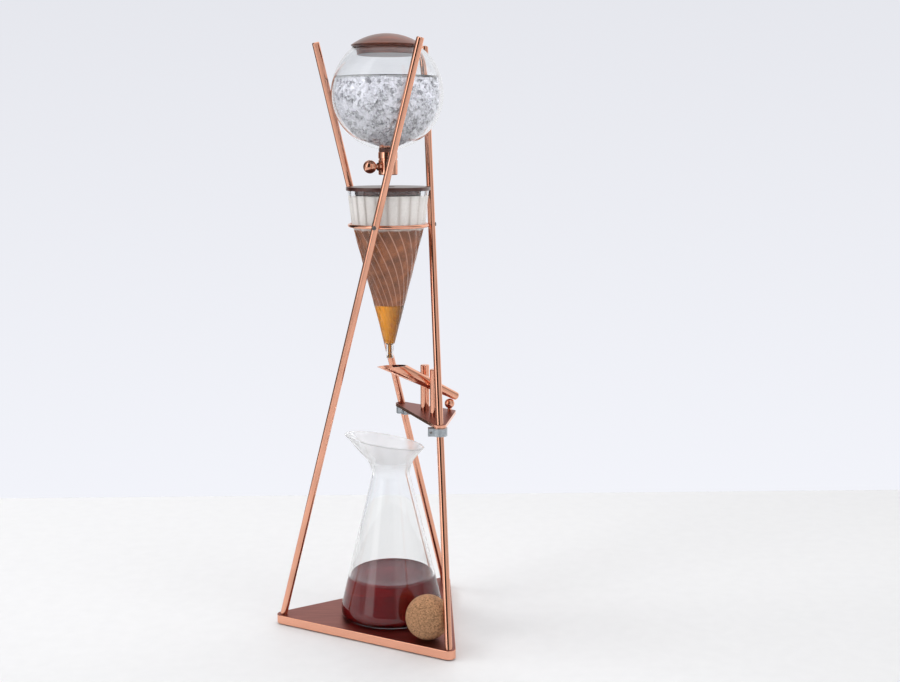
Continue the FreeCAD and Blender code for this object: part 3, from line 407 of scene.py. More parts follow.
def paper_finish(stain_top):
    """Filter paper, white above and stained by wet grounds below a height, with painted shade in the flute
    valleys and painted highlight lines along them on the stain.
    """
    grounds = tint_of("grounds")
    finish = Finish("filter_paper")
    ragged = finish.cloud(scale=110, detail=5)
    edge = finish.math("MULTIPLY_ADD", ragged, 5 * MM, finish.own_axes()["Z"])
    wet = finish.span(edge, stain_top + 1.2 * MM, stain_top + 3.6 * MM, to_low=1, to_high=0)
    fibres = finish.cloud(scale=520, detail=6, rough=0.7)
    flutes = finish.flutes()
    clean = finish.ramp(fibres, (0.3, (0.62, 0.585, 0.54)), (0.7, (0.70, 0.665, 0.62)))
    # Painted shade: the clean paper is darkened in the valleys of the flutes.
    valleys = finish.span(flutes, low=0.0, high=0.75, to_low=0.55, to_high=0.0)
    shaded = finish.mix(valleys, clean, (0.42, 0.35, 0.30))
    stained = finish.ramp(
        finish.cloud(scale=85, detail=6, rough=0.62),
        (0.30, scaled(grounds, 0.55)),
        (0.50, scaled(grounds, 0.9)),
        (0.68, scaled(grounds, 1.6)),
    )
    # Painted highlight: pale lines along the flute valleys on the stained paper stand in for reflections.
    lines = finish.span(flutes, low=0.10, high=0.34, to_low=0.72, to_high=0.0)
    finish.colour(finish.mix(wet, shaded, finish.mix(lines, stained, (0.72, 0.43, 0.30))))
    finish.gloss(fibres, smooth=0.8, rough=0.95)
    finish.bump(fibres, strength=0.35, height=0.2 * MM)
    return finish.material


def grounds_finish():
    """A bed of wet ground coffee."""
    grounds = tint_of("grounds")
    finish = Finish("coffee_grounds", Roughness=0.55)
    grains = finish.cells(1500)
    tone = finish.channels(grains["Color"])["Red"]
    finish.colour(finish.ramp(tone, (0.1, scaled(grounds, 0.18)), (0.9, scaled(grounds, 0.7))))
    finish.bump(grains["Distance"], strength=0.9, height=0.6 * MM)
    return finish.material


def shaded_liquid_finish(name, tint, clear, shaded_side_factor, reach):
    """A drink that fades to a darker tint towards the right, over a reach from its middle: painted shade on
    the side away from the light.
    """
    finish = Finish(name, Transmission_Weight=clear, IOR=1.34, Specular_IOR_Level=0.3)
    depth = finish.cloud(scale=26, detail=2)
    # Painted shade: the colour darkens from left to right across the piece.
    lean = finish.span(finish.own_axes()["X"], -reach, reach, to_low=-0.15, to_high=0.85)
    uneven = finish.math("MULTIPLY", finish.math("SUBTRACT", depth, 0.5), 0.5)
    shade = finish.math("MAXIMUM", finish.math("ADD", uneven, lean), 0)
    finish.colour(finish.mix(finish.math("MINIMUM", shade, 1), tint, scaled(tint, shaded_side_factor)))
    finish.gloss(depth, smooth=0.0, rough=0.03)
    return finish.material


def ice_facet_light_finish(name, clear, low, high):
    """Crushed ice: large and small facets, each painted a brightness between two, as painted light and shade
    on the facets.
    """
    tint = tint_of("ice")
    finish = Finish(name, Transmission_Weight=clear, IOR=1.31)
    large = finish.cells(190)
    small = finish.cells(460)
    tones = finish.channels(large["Color"])
    fine = finish.math("MULTIPLY", finish.channels(small["Color"])["Red"], 0.45)
    # Painted light and shade: each facet cell gets a brightness between the grey low and the white high.
    finish.colour(finish.ramp(
        finish.math("MULTIPLY_ADD", tones["Green"], 0.55, fine),
        (0.22, scaled(tint, low)),
        (0.38, scaled(tint, (low + 2 * high) / 3)),
        (0.60, scaled(tint, high)),
    ))
    finish.gloss(tones["Blue"], smooth=0.0, rough=0.08)
    finish.bump(finish.math("ADD", large["Distance"], small["Distance"]), strength=0.55, height=1.2 * MM)
    return finish.material


# Mesh helpers

def link(thing):
    """Put an object in the scene."""
    bpy.context.scene.collection.objects.link(thing)
    return thing


def piece(name, vertices, faces, material, smooth=True):
    """An object from vertices and faces, with doubles merged and its faces turned outwards."""
    mesh = bpy.data.meshes.new(name)
    mesh.from_pydata(vertices, [], faces)
    work = bmesh.new()
    work.from_mesh(mesh)
    bmesh.ops.remove_doubles(work, verts=work.verts, dist=TINY)
    bmesh.ops.recalc_face_normals(work, faces=work.faces)
    work.to_mesh(mesh)
    work.free()
    mesh.materials.append(material)
    for face in mesh.polygons:
        face.use_smooth = smooth
    return link(bpy.data.objects.new(name, mesh))


def sharpen(thing, degrees):
    """Edges that bend by more than an angle stay crisp."""
    thing.data.set_sharp_from_angle(angle=math.radians(degrees))


def surface_of_rows(rows, closed=True):
    """Vertices and faces of rows of points that each go round once; a row of one point is a pole."""
    vertices = []
    starts = []
    for row in rows:
        starts.append(len(vertices))
        vertices.extend(row)
    faces = []
    count = len(rows)
    for index in range(count if closed else count - 1):
        onto = (index + 1) % count
        low, high = rows[index], rows[onto]
        around = max(len(low), len(high))
        if around == 1:
            continue
        for step in range(around):
            onward = (step + 1) % around
            corners = [
                starts[index] + (step if len(low) > 1 else 0),
                starts[index] + (onward if len(low) > 1 else 0),
                starts[onto] + (onward if len(high) > 1 else 0),
                starts[onto] + (step if len(high) > 1 else 0),
            ]
            faces.append(list(dict.fromkeys(corners)))
    return vertices, faces


def round_row(radius, height, steps):
    """Points round a circle, or one point on the axis."""
    if radius < TINY:
        return [(0, 0, height)]
    turn = 2 * math.pi / steps
    return [(radius * math.cos(turn * n), radius * math.sin(turn * n), height) for n in range(steps)]


def spun(name, profile, material, steps=160, closed=False):
    """A turned piece from pairs of radius and height; closed where the profile is a loop."""
    rows = [round_row(radius, height, steps) for radius, height in profile]
    return piece(name, *surface_of_rows(rows, closed), material)


def arc(centre, radius, start, end, steps):
    """Radius and height along an arc, its angles in degrees from level."""
    points = []
    for step in range(steps + 1):
        angle = math.radians(start + (end - start) * step / steps)
        points.append((centre[0] + radius * math.cos(angle), centre[1] + radius * math.sin(angle)))
    return points


def along(points, spacing):
    """Points with more between them, so that no step is longer than a spacing."""
    result = [points[0]]
    for (r0, h0), (r1, h1) in zip(points, points[1:]):
        steps = max(1, math.ceil(math.hypot(r1 - r0, h1 - h0) / spacing))
        for step in range(1, steps + 1):
            share = step / steps
            result.append((r0 + (r1 - r0) * share, h0 + (h1 - h0) * share))
    return result


def smooth_curve(points, steps):
    """A smooth curve through pairs of radius and height."""
    result = []
    last = len(points) - 1
    for index in range(last):
        before = points[max(index - 1, 0)]
        start, end = points[index], points[index + 1]
        after = points[min(index + 2, last)]
        for step in range(steps):
            t = step / steps
            result.append(tuple(
                0.5 * (
                    2 * b + (c - a) * t + (2 * a - 5 * b + 4 * c - d) * t * t
                    + (3 * b - a - 3 * c + d) * t ** 3
                )
                for a, b, c, d in zip(before, start, end, after)
            ))
    result.append(points[last])
    return result


def heights_between(low, high, steps=24):
    """Evenly spaced heights, with both ends."""
    return [low + (high - low) * step / steps for step in range(steps + 1)]


# Geometry node helpers

class Tree:
    """A geometry node tree with named inputs."""

    def __init__(self, name):
        self.tree = bpy.data.node_groups.new(name, "GeometryNodeTree")
        self.tree.interface.new_socket("Geometry", in_out="OUTPUT", socket_type="NodeSocketGeometry")
        self.inputs = {}
        self.socket("Geometry", "Geometry")
        self.start = self.tree.nodes.new("NodeGroupInput")
        self.end = self.tree.nodes.new("NodeGroupOutput")

    def socket(self, name, kind, value=None):
        """A named input of the tree."""
        made = self.tree.interface.new_socket(name, in_out="INPUT", socket_type="NodeSocket" + kind)
        if value is not None:
            self.inputs[made.identifier] = value

    def given(self, name):
        """An input's value inside the tree."""
        return self.start.outputs[name]

    def add(self, kind, *sources, **settings):
        """A node with its properties and its enabled inputs, in order; None leaves one as it is."""
        node = self.tree.nodes.new(kind)
        for name, value in settings.items():
            setattr(node, name, value)
        enabled = [socket for socket in node.inputs if socket.enabled]
        for socket, source in zip(enabled, sources):
            if isinstance(source, bpy.types.NodeSocket):
                self.tree.links.new(source, socket)
            elif source is not None:
                socket.default_value = source
        return node

    def sum(self, operation, *sources):
        """A math node's result."""
        return self.add("ShaderNodeMath", *sources, operation=operation).outputs[0]

    def any_between(self, low, high):
        """A vector for each point, at random between two, from the tree's seed."""
        node = self.add("FunctionNodeRandomValue", data_type="FLOAT_VECTOR")
        node.inputs["Min"].default_value = low
        node.inputs["Max"].default_value = high
        self.tree.links.new(self.given("Seed"), node.inputs["Seed"])
        return node.outputs[0]

    def finish(self, geometry, material):
        """End in plain geometry with its material."""
        real = self.add("GeometryNodeRealizeInstances", geometry)
        dressed = self.add("GeometryNodeSetMaterial", real.outputs[0], None, material)
        self.tree.links.new(dressed.outputs[0], self.end.inputs[0])

    def bake(self, name, base, material):
        """The tree's result on a base object, as a plain mesh object of its own."""
        modifier = base.modifiers.new("Shape", "NODES")
        modifier.node_group = self.tree
        for identifier, value in self.inputs.items():
            modifier[identifier] = value
        graph = bpy.context.evaluated_depsgraph_get()
        mesh = bpy.data.meshes.new_from_object(base.evaluated_get(graph))
        base.modifiers.clear()
        bpy.data.objects.remove(base)
        mesh.name = name
        if not len(mesh.polygons):
            raise RuntimeError("%s came out empty" % name)
        if material.name not in [made.name for made in mesh.materials if made]:
            mesh.materials.append(material)
        return link(bpy.data.objects.new(name, mesh))


# Glassware profiles

def bulb_centre():
    """Height of the bulb's centre."""
    return BULB_RIM - sizes().bulb_rim_up


def bulb_arc(radius, low_radius, high, steps):
    """A sphere's profile from a small radius near its foot up to a height above its centre."""
    start = -math.degrees(math.acos(low_radius / radius))
    end = math.degrees(math.asin(high / radius))
    return arc((0, bulb_centre()), radius, start, end, steps)


DRIPPER_SHOULDER = RING_Z - 4 * MM
DRIPPER_SHOULDER_RADIUS = 38.3 * MM
DRIPPER_FOOT = RING_Z - 130.3 * MM
DRIPPER_FOOT_RADIUS = 5.5 * MM
DRIPPER_RIM_RADIUS = 44.3 * MM
NOZZLE_RADIUS = 4 * MM
BORE_RADIUS = 2 * MM
RING_REACH = 4.35 * MM


def seat_radius():
    """Radius of the dripper where it rests in its ring."""
    return RING_HIGH.x - RING_REACH


def dripper_outside():
    """Crest radius and height down the dripper's glass."""
    return [
        (DRIPPER_RIM_RADIUS, DRIPPER_RIM),
        (seat_radius(), RING_Z),
        (DRIPPER_SHOULDER_RADIUS, DRIPPER_SHOULDER),
        (DRIPPER_FOOT_RADIUS, DRIPPER_FOOT),
    ]


def dripper_inside(extra=0.0):
    """Radius and height down the dripper's plain inner wall, drawn in by an extra inset."""
    share = 1 - sizes().flute_depth / DRIPPER_RIM_RADIUS
    inset = sizes().dripper_wall + extra
    return [
        (max(radius * share - inset, BORE_RADIUS - extra), height)
        for radius, height in dripper_outside()
    ]


def radius_at(profile, height):
    """Radius of a profile that runs downwards, at a height."""
    for (wide, high), (narrow, low) in zip(profile, profile[1:]):
        if low <= height <= high:
            return narrow + (wide - narrow) * (height - low) / (high - low)
    return profile[0][0] if height > profile[0][1] else profile[-1][0]


# Carafe: radius and height in millimetres, from the top of its plain cone to past its mouth
CARAFE_THROAT = (22.9, 155)
CARAFE_NECK = (21.3, 166)
CARAFE_WAIST = (CARAFE_THROAT, CARAFE_NECK, (25.9, 179), (37.1, 192.4), (50.5, 209), (59.5, 218))
CARAFE_BASE = 57.5
CARAFE_BELLY = 10.5
CARAFE_FOOT_ROUND = 6.0
CARAFE_RIM_UP = 199.8
CARAFE_RIM_SLOPE = math.radians(11.3)
CARAFE_RIM_HEADING = math.radians(200)
CARAFE_ROUND = 200
CARAFE_UPPER_ROWS = 46
CARAFE_FLOOR_RADII = (15 * MM, 30 * MM, 42 * MM)
MIST_BELOW_NECK = 8 * MM
MIST_ABOVE_NECK = 14 * MM


def carafe_profile(inset, floor):
    """The carafe's wall from its floor's edge upwards, in metres above the plate."""
    base = CARAFE_BASE * MM - inset
    bend = CARAFE_FOOT_ROUND * MM
    foot = arc((base - bend, floor + bend), bend, -90, 0, steps=8)
    belly = (base, max(CARAFE_BELLY * MM, floor + bend + MM))
    waist = [(radius * MM - inset, height * MM) for radius, height in CARAFE_WAIST]
    return foot + along([belly, waist[0]], 6 * MM)[:-1] + smooth_curve(waist, steps=9)


def slanted_cut(profile, angle):
    """Where a wall that rises in a direction meets the slanted rim, as an index with its fraction."""
    lean = math.tan(CARAFE_RIM_SLOPE) * math.cos(angle - CARAFE_RIM_HEADING)
    for index in range(len(profile) - 1, 0, -1):
        (r0, h0), (r1, h1) = profile[index - 1], profile[index]
        under = h0 - (CARAFE_RIM_UP * MM + lean * r0)
        over = h1 - (CARAFE_RIM_UP * MM + lean * r1)
        if under <= 0 < over:
            return index - 1 + under / (under - over)
    raise RuntimeError("the carafe's rim misses its wall")


def point_on(profile, place):
    """A point of a profile at an index with its fraction."""
    index = min(int(place), len(profile) - 2)
    share = place - index
    (r0, h0), (r1, h1) = profile[index], profile[index + 1]
    return r0 + (r1 - r0) * share, h0 + (h1 - h0) * share


# Operators, one for each piece or group of like pieces

class TOWER_OT_metalwork(Operator):
    """Finish the rods, plates, posts, valve, screws, clamps and seals."""

    bl_idname = "tower.metalwork"
    bl_label = "Metalwork"

    def execute(self, context):
        finishes = {
            copper_finish(): (
                "left_rod", "front_rod", "back_rod", "dripper_ring", "rear_post", "front_post", "pivot_pin",
                "strike_ball", "tipping_tube", "tail_weight", "pivot_bush", "valve_body", "valve_nut",
                "gland_nut", "needle_stem", "knob_ball",
            ),
            plate_with_shaded_top_finish(): ("base_plate", "pour_platform"),
            screw_finish(): ("foot_screws", "ring_screws", "clamp_screws", "post_screws", "strike_nut"),
            clamp_finish(): ("rear_clamp", "front_clamp"),
            silicone_finish(): ("outer_gasket", "inner_gasket", "stem_seal", "lid_seal"),
            rubber_finish(): ("base_pad",),
        }
        for material, nodes in finishes.items():
            for node in nodes:
                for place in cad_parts[node].material_slots:
                    place.material = material
        return {"FINISHED"}


class TOWER_OT_water_bulb(Operator):
    """Blow the water bulb, with a rounded lip."""

    bl_idname = "tower.water_bulb"
    bl_label = "Water bulb"

    def execute(self, context):
        s = sizes()
        lip = s.bulb_wall / 2
        lip_steps = 8
        straight = s.bulb_rim_up - lip
        outside = bulb_arc(s.bulb_radius, s.bulb_hole, straight, steps=110)
        inside = bulb_arc(s.bulb_radius - s.bulb_wall, s.bulb_hole, straight, steps=110)
        middle = (outside[-1][0] + inside[-1][0]) / 2
        half = (outside[-1][0] - inside[-1][0]) / 2
        turns = [math.pi * n / lip_steps for n in range(1, lip_steps)]
        rim = [(middle + half * math.cos(turn), BULB_RIM - lip + lip * math.sin(turn)) for turn in turns]
        profile = outside + rim + inside[::-1]
        bulb = spun("bulb_glass", profile, glass_finish("bulb_clear"), steps=192, closed=True)
        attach(bulb, "bulb")
        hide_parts("water_bulb")
        return {"FINISHED"}


class TOWER_OT_ice(Operator):
    """Fill the bulb with water and crushed ice."""

    bl_idname = "tower.ice"
    bl_label = "Ice and water"

    def execute(self, context):
        s = sizes()
        inner = s.bulb_radius - s.bulb_wall
        core = inner - 4.2 * MM
        level = s.water_up
        body = bulb_arc(core, 12 * MM, level - 1.5 * MM, steps=70)
        profile = [(0, body[0][1])] + body + [(0, body[-1][1])]
        packed = ice_facet_light_finish("ice_core", clear=0.15, low=0.50, high=0.95)
        water = spun("ice_core", profile, packed, steps=128)
        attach(water, "bulb")
        chips = self.chips(core, level, ice_facet_light_finish("ice_chips", clear=0.22, low=0.42, high=1.0))
        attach(chips, "bulb")
        gap = 0.15 * MM
        surface = inner - gap
        reach = math.sqrt(surface * surface - level * level)
        height = bulb_centre() + level
        skin = 0.7 * MM
        film = [(0, height - skin), (reach - MM, height - skin), (reach, height), (0, height)]
        clear = shaded_liquid_finish("water", (0.95, 0.97, 0.99), clear=1.0, shaded_side_factor=0.98, reach=50 * MM)
        top = spun("water_surface", film, clear, steps=128)
        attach(top, "bulb")
        return {"FINISHED"}

    def chips(self, core, level, material):
        """Broken chips scattered over the core, inside the glass."""
        profile = bulb_arc(core, 9 * MM, level - 3 * MM, steps=40)
        base = spun("chip_ground", profile, material, steps=64)
        tree = Tree("Crushed ice")
        tree.socket("Chip size", "Float", 4.0 * MM)
        tree.socket("Chips", "Float", 70000.0)
        tree.socket("Seed", "Int", 7)
        spots = tree.add(
            "GeometryNodeDistributePointsOnFaces", tree.given("Geometry"), None, tree.given("Chips"),
            tree.given("Seed"), distribute_method="RANDOM",
        )
        chip = tree.add("GeometryNodeMeshIcoSphere", 1.0, 1)
        whole_turn = 6.28
        turn = tree.any_between((0, 0, 0), (whole_turn, whole_turn, whole_turn))
        shape = tree.any_between((0.55, 0.40, 0.30), (1.0, 0.85, 0.62))
        grown = tree.add("ShaderNodeVectorMath", shape, tree.given("Chip size"), operation="SCALE")
        spread = tree.add("GeometryNodeInstanceOnPoints")
        sources = {
            "Points": spots.outputs["Points"], "Instance": chip.outputs[0], "Rotation": turn,
            "Scale": grown.outputs[0],
        }
        for name, source in sources.items():
            tree.tree.links.new(source, spread.inputs[name])
        tree.finish(spread.outputs[0], material)
        chips = tree.bake("ice_chips", base, material)
        for face in chips.data.polygons:
            face.use_smooth = False
        return chips


class TOWER_OT_bulb_lid(Operator):
    """Turn the bulb's lens-shaped wooden lid."""

    bl_idname = "tower.bulb_lid"
    bl_label = "Bulb lid"

    def execute(self, context):
        low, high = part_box("bulb_lid")
        radius = high.x
        seat = BULB_RIM
        edge = 2.1 * MM
        crown = high.z - seat - edge
        dome = (radius * radius + crown * crown) / (2 * crown)
        top = (0, high.z - dome)
        plug = 32 * MM
        groove = 1.8 * MM
        soft = 0.8 * MM
        middle = (low.z + seat) / 2
        lean = math.degrees(math.asin((seat + edge - top[1]) / dome))
        profile = along([(0, low.z), (plug - soft, low.z)], 4 * MM)
        profile += arc((plug - soft, low.z + soft), soft, -90, 0, steps=5)
        profile += [
            (plug, middle - groove / 2),
            (plug - groove, middle - groove / 2),
            (plug - groove, middle + groove / 2),
            (plug, middle + groove / 2),
            (plug, seat),
        ]
        profile += along([(plug, seat), (radius - edge, seat)], 2 * MM)[1:]
        under_edge = (radius - 0.9 * MM, seat + 1.0 * MM)
        beside_edge = (radius - 0.15 * MM, seat + 1.8 * MM)
        profile += [under_edge, beside_edge]
        profile += arc(top, dome, lean, 90, steps=44)[:-1]
        profile += [(0, high.z)]
        wood = wood_finish("lid_walnut", tint_of("walnut"), centre=(0, 0, seat), gloss=0.28)
        lid = spun("bulb_lid_wood", profile, wood, steps=160)
        sharpen(lid, 38)
        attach(lid, "bulb_lid")
        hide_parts("bulb_lid")
        return {"FINISHED"}


class TOWER_OT_dripper(Operator):
    """Press the fluted glass dripper, straight at its rim and swirling in its cone."""

    bl_idname = "tower.dripper"
    bl_label = "Fluted dripper"

    def execute(self, context):
        glass = glass_finish("dripper_clear", haze=0.03)
        points_per_flute = 14
        steps = sizes().flutes * points_per_flute
        outside = along(dripper_outside(), 2.2 * MM)
        nozzle = [(NOZZLE_RADIUS, DRIPPER_FOOT - MM), (NOZZLE_RADIUS, DRIPPER_TIP)]
        inside = along(dripper_inside(), 3 * MM)
        bore = [(BORE_RADIUS, DRIPPER_TIP)]
        profile = outside + nozzle + bore + inside[::-1]
        base = spun("flute_blank", profile, glass, steps=steps, closed=True)
        self.mark(base)
        cone = self.flutes(glass).bake("dripper_glass", base, glass)
        sharpen(cone, 32)
        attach(cone, "dripper")
        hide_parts("dripper_cone")
        return {"FINISHED"}

    def mark(self, base):
        """Mark the points of the outer wall, which the flutes shape."""
        mark = base.data.attributes.new("outer", "FLOAT", "POINT")
        wall = along(dripper_inside(), 3 * MM)
        for vertex in base.data.vertices:
            height = vertex.co.z
            radius = math.hypot(vertex.co.x, vertex.co.y)
            plain = radius_at(wall, height) + sizes().dripper_wall / 2
            mark.data[vertex.index].value = 1.0 if radius > plain and height > DRIPPER_FOOT + MM else 0.0

    def flutes(self, glass):
        """Tree that draws the outer wall in between its flutes."""
        s = sizes()
        tree = Tree("Flutes")
        tree.socket("Flutes", "Float", float(s.flutes))
        tree.socket("Depth", "Float", s.flute_depth / DRIPPER_RIM_RADIUS)
        tree.socket("Swirl", "Float", s.flute_swirl)
        tree.socket("Shoulder", "Float", DRIPPER_SHOULDER)
        tree.socket("Foot", "Float", DRIPPER_FOOT)
        spot = tree.add("GeometryNodeInputPosition")
        split = tree.add("ShaderNodeSeparateXYZ", spot.outputs[0])
        x, y, z = split.outputs
        angle = tree.sum("ARCTAN2", y, x)
        turn = tree.add(
            "ShaderNodeMapRange", z, tree.given("Shoulder"), tree.given("Foot"), 0.0, tree.given("Swirl"),
        )
        phase = tree.sum("MULTIPLY", tree.sum("SUBTRACT", angle, turn.outputs[0]), tree.given("Flutes"))
        ripple = tree.sum("ABSOLUTE", tree.sum("SINE", tree.sum("MULTIPLY", phase, 0.5)))
        valley = tree.sum("MULTIPLY", tree.sum("SUBTRACT", 1.0, ripple), tree.given("Depth"))
        outer = tree.add("GeometryNodeInputNamedAttribute", "outer", data_type="FLOAT")
        drawn = tree.sum("SUBTRACT", 1.0, tree.sum("MULTIPLY", valley, outer.outputs[0]))
        place = tree.add(
            "ShaderNodeCombineXYZ", tree.sum("MULTIPLY", x, drawn), tree.sum("MULTIPLY", y, drawn), z,
        )
        moved = tree.add("GeometryNodeSetPosition", tree.given("Geometry"), None, place.outputs[0])
        tree.finish(moved.outputs[0], glass)
        return tree


class TOWER_OT_filter(Operator):
    """Stand the paper filter in the dripper, with its bed of grounds and the coffee below it."""

    bl_idname = "tower.filter"
    bl_label = "Filter, grounds and fresh coffee"

    def execute(self, context):
        cling = 0.05 * MM
        thick = 0.5 * MM
        top, floor = FILTER_TOP, FILTER_FLOOR
        wall = dripper_inside(-cling)
        outer = [(radius_at(wall, top), top)]
        outer += [point for point in wall if floor < point[1] < top]
        outer += [(radius_at(wall, floor), floor), (0, floor)]
        inner = [(max(radius - thick, 0), height) for radius, height in outer[:-2]]
        inner += [(outer[-2][0] - thick, floor + thick), (0, floor + thick)]
        stain_top = RING_Z - 4 * MM
        paper = spun("filter_cone", outer[::-1] + inner, paper_finish(stain_top), steps=160)
        sharpen(paper, 40)
        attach(paper, "dripper")
        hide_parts("paper_filter")
        loose = 0.2 * MM
        dip = 2 * MM
        bed_top = RING_Z - 7 * MM
        heights = heights_between(floor + thick + loose, bed_top)
        bed_wall = [(radius_at(inner, height) - loose, height) for height in heights]
        bed = [(0, heights[0])] + bed_wall + [(0, bed_top - dip)]
        grounds = spun("coffee_bed", bed, grounds_finish(), steps=96)
        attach(grounds, "dripper")
        self.fresh_coffee(floor)
        return {"FINISHED"}

    def fresh_coffee(self, floor):
        """Filtered coffee that stands in the tip of the glass and in its bore."""
        wet = 0.25 * MM
        wall = dripper_inside(-wet)
        low = DRIPPER_FOOT + MM
        drop = DRIPPER_TIP + 0.2 * MM
        bore = BORE_RADIUS + wet
        heights = heights_between(low, floor - 0.3 * MM)
        profile = [(0, drop), (bore, drop), (bore, low - 0.5 * MM)]
        profile += [(max(radius_at(wall, height), bore), height) for height in heights]
        profile += [(0, heights[-1])]
        amber = shaded_liquid_finish("fresh_coffee", tint_of("fresh_coffee"), clear=0.80, shaded_side_factor=0.22, reach=10 * MM)
        pool = spun("fresh_coffee", profile, amber, steps=96)
        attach(pool, "dripper")


class TOWER_OT_dripper_lid(Operator):
    """Turn the dripper's dark wooden lid."""

    bl_idname = "tower.dripper_lid"
    bl_label = "Dripper lid"

    def execute(self, context):
        low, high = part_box("dripper_lid")
        radius = high.x
        way = 7 * MM
        plug = 39.8 * MM
        soft = 0.6 * MM
        profile = [(way, low.z + soft)]
        profile += along([(way + soft, low.z), (plug - soft, low.z)], 4 * MM)
        profile += arc((plug - soft, low.z + soft), soft, -90, 0, steps=4)
        profile += along([(plug, DRIPPER_RIM), (radius - soft, DRIPPER_RIM)], 3 * MM)
        profile += arc((radius - soft, DRIPPER_RIM + soft), soft, -90, 0, steps=4)[1:]
        profile += arc((radius - soft, high.z - soft), soft, 0, 90, steps=4)
        profile += along([(radius - soft, high.z), (way + soft, high.z)], 4 * MM)[1:]
        profile += [(way, high.z - soft)]
        wood = wood_finish("lid_dark_walnut", tint_of("dark_walnut"), centre=(0, 0, high.z), gloss=0.3)
        lid = spun("dripper_lid_wood", profile, wood, steps=160, closed=True)
        sharpen(lid, 38)
        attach(lid, "dripper_lid")
        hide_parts("dripper_lid")
        return {"FINISHED"}


class TOWER_OT_carafe(Operator):
    """Blow the carafe with its slanted, flared mouth."""

    bl_idname = "tower.carafe"
    bl_label = "Carafe"

    def execute(self, context):
        s = sizes()
        outer = self.wall(carafe_profile(0, 0))
        inner = self.wall(carafe_profile(s.carafe_wall, s.carafe_floor))
        rows = self.disc(PLATE_TOP) + outer
        rows += self.lip(outer[-1], inner[-1], s.carafe_wall)
        rows += inner[::-1] + self.disc(PLATE_TOP + s.carafe_floor)[::-1]
        neck = PLATE_TOP + CARAFE_NECK[1] * MM
        clear = glass_finish("carafe_clear", misted=(neck - MIST_BELOW_NECK, neck + MIST_ABOVE_NECK))
        glass = piece("carafe_glass", *surface_of_rows(rows, closed=False), clear)
        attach(glass, "carafe")
        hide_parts("carafe")
        return {"FINISHED"}

    def disc(self, height):
        """Rows of points across a level floor, from its middle outwards."""
        return [round_row(radius, height, CARAFE_ROUND) for radius in (0, *CARAFE_FLOOR_RADII)]

    def wall(self, profile):
        """Rows of points up a wall, the upper ones spread between the neck and the slanted rim."""
        throat = CARAFE_THROAT[1] * MM
        neck = next(index for index, (radius, height) in enumerate(profile) if height >= throat)
        rows = [round_row(radius, PLATE_TOP + height, CARAFE_ROUND) for radius, height in profile[:neck]]
        columns = []
        for step in range(CARAFE_ROUND):
            angle = 2 * math.pi * step / CARAFE_ROUND
            end = slanted_cut(profile, angle)
            column = []
            for row in range(CARAFE_UPPER_ROWS + 1):
                radius, height = point_on(profile, neck + (end - neck) * row / CARAFE_UPPER_ROWS)
                column.append((radius * math.cos(angle), radius * math.sin(angle), PLATE_TOP + height))
            columns.append(column)
        return rows + [list(row) for row in zip(*columns)]

    def lip(self, outer, inner, wall):
        """Rows that round the rim over from the outer wall to the inner one."""
        fullness = 0.3
        rows = []
        for part in (0.25, 0.5, 0.75):
            lift = (0, 0, wall * fullness * math.sin(math.pi * part))
            rows.append([
                tuple(near + (far - near) * part + up for near, far, up in zip(outside, inside, lift))
                for outside, inside in zip(outer, inner)
            ])
        return rows


class TOWER_OT_brew(Operator):
    """Pour brewed coffee into the carafe."""

    bl_idname = "tower.brew"
    bl_label = "Brewed coffee"

    def execute(self, context):
        s = sizes()
        wet = 0.3 * MM
        wall = carafe_profile(s.carafe_wall - wet, s.carafe_floor - wet)
        level = s.coffee_level
        below = [(radius, height) for radius, height in wall if height < level - 2 * MM]
        edge = next(radius for radius, height in wall if height >= level)
        meniscus = [
            (edge + 0.1 * MM, level - MM),
            (edge, level + 0.7 * MM),
            (edge - 0.5 * MM, level + 0.3 * MM),
            (edge - 1.8 * MM, level),
        ]
        profile = [(0, below[0][1])] + below + meniscus + [(edge * 0.6, level), (0, level)]
        profile = [(radius, PLATE_TOP + height) for radius, height in profile]
        drink = shaded_liquid_finish("brewed_coffee", tint_of("coffee"), clear=0.80, shaded_side_factor=0.50, reach=70 * MM)
        brew = spun("brewed_coffee", profile, drink, steps=160)
        sharpen(brew, 50)
        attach(brew, "carafe")
        return {"FINISHED"}


class TOWER_OT_cork(Operator):
    """Shape the cork ball, pitted where granules have come away."""

    bl_idname = "tower.cork"
    bl_label = "Cork ball"

    def execute(self, context):
        low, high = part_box("cork_ball")
        centre = (low + high) / 2
        pit_width = 2.6 * MM
        pit_depth = 0.9 * MM
        pit_start = 0.28
        grain_width = 0.9 * MM
        grain_depth = 0.07 * MM
        work = bmesh.new()
        bmesh.ops.create_icosphere(work, subdivisions=6, radius=sizes().cork_radius)
        for vertex in work.verts:
            pit = max(0.0, noise.noise(vertex.co / pit_width) - pit_start)
            grain = (noise.noise(vertex.co / grain_width) + 1) / 2
            shrink = min(0.0, -pit_depth * pit - grain_depth * grain)
            vertex.co += vertex.co.normalized() * shrink
        mesh = bpy.data.meshes.new("cork_ball_pressed")
        bmesh.ops.translate(work, verts=work.verts, vec=centre)
        work.to_mesh(mesh)
        work.free()
        mesh.materials.append(cork_finish(centre))
        for face in mesh.polygons:
            face.use_smooth = True
        ball = link(bpy.data.objects.new("cork_ball_pressed", mesh))
        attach(ball, "cork_ball")
        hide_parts("cork_ball")
        return {"FINISHED"}


# Stage

CAMERA_SPOT = (0.028798, -1.364283, 0.541000)
CAMERA_RIGHT = (0.999609, -0.027909, -0.001810)
CAMERA_UP = (0.006176, 0.157142, 0.987557)
CAMERA_AHEAD = (0.027277, 0.987182, -0.157252)
LENS = 50.1
SENSOR = 36
TABLE_BACK = 0.52
TABLE_REACH = 5.0
CLEAR_SURFACES = 5
LIGHT_THROUGH_GLASS = 4.0


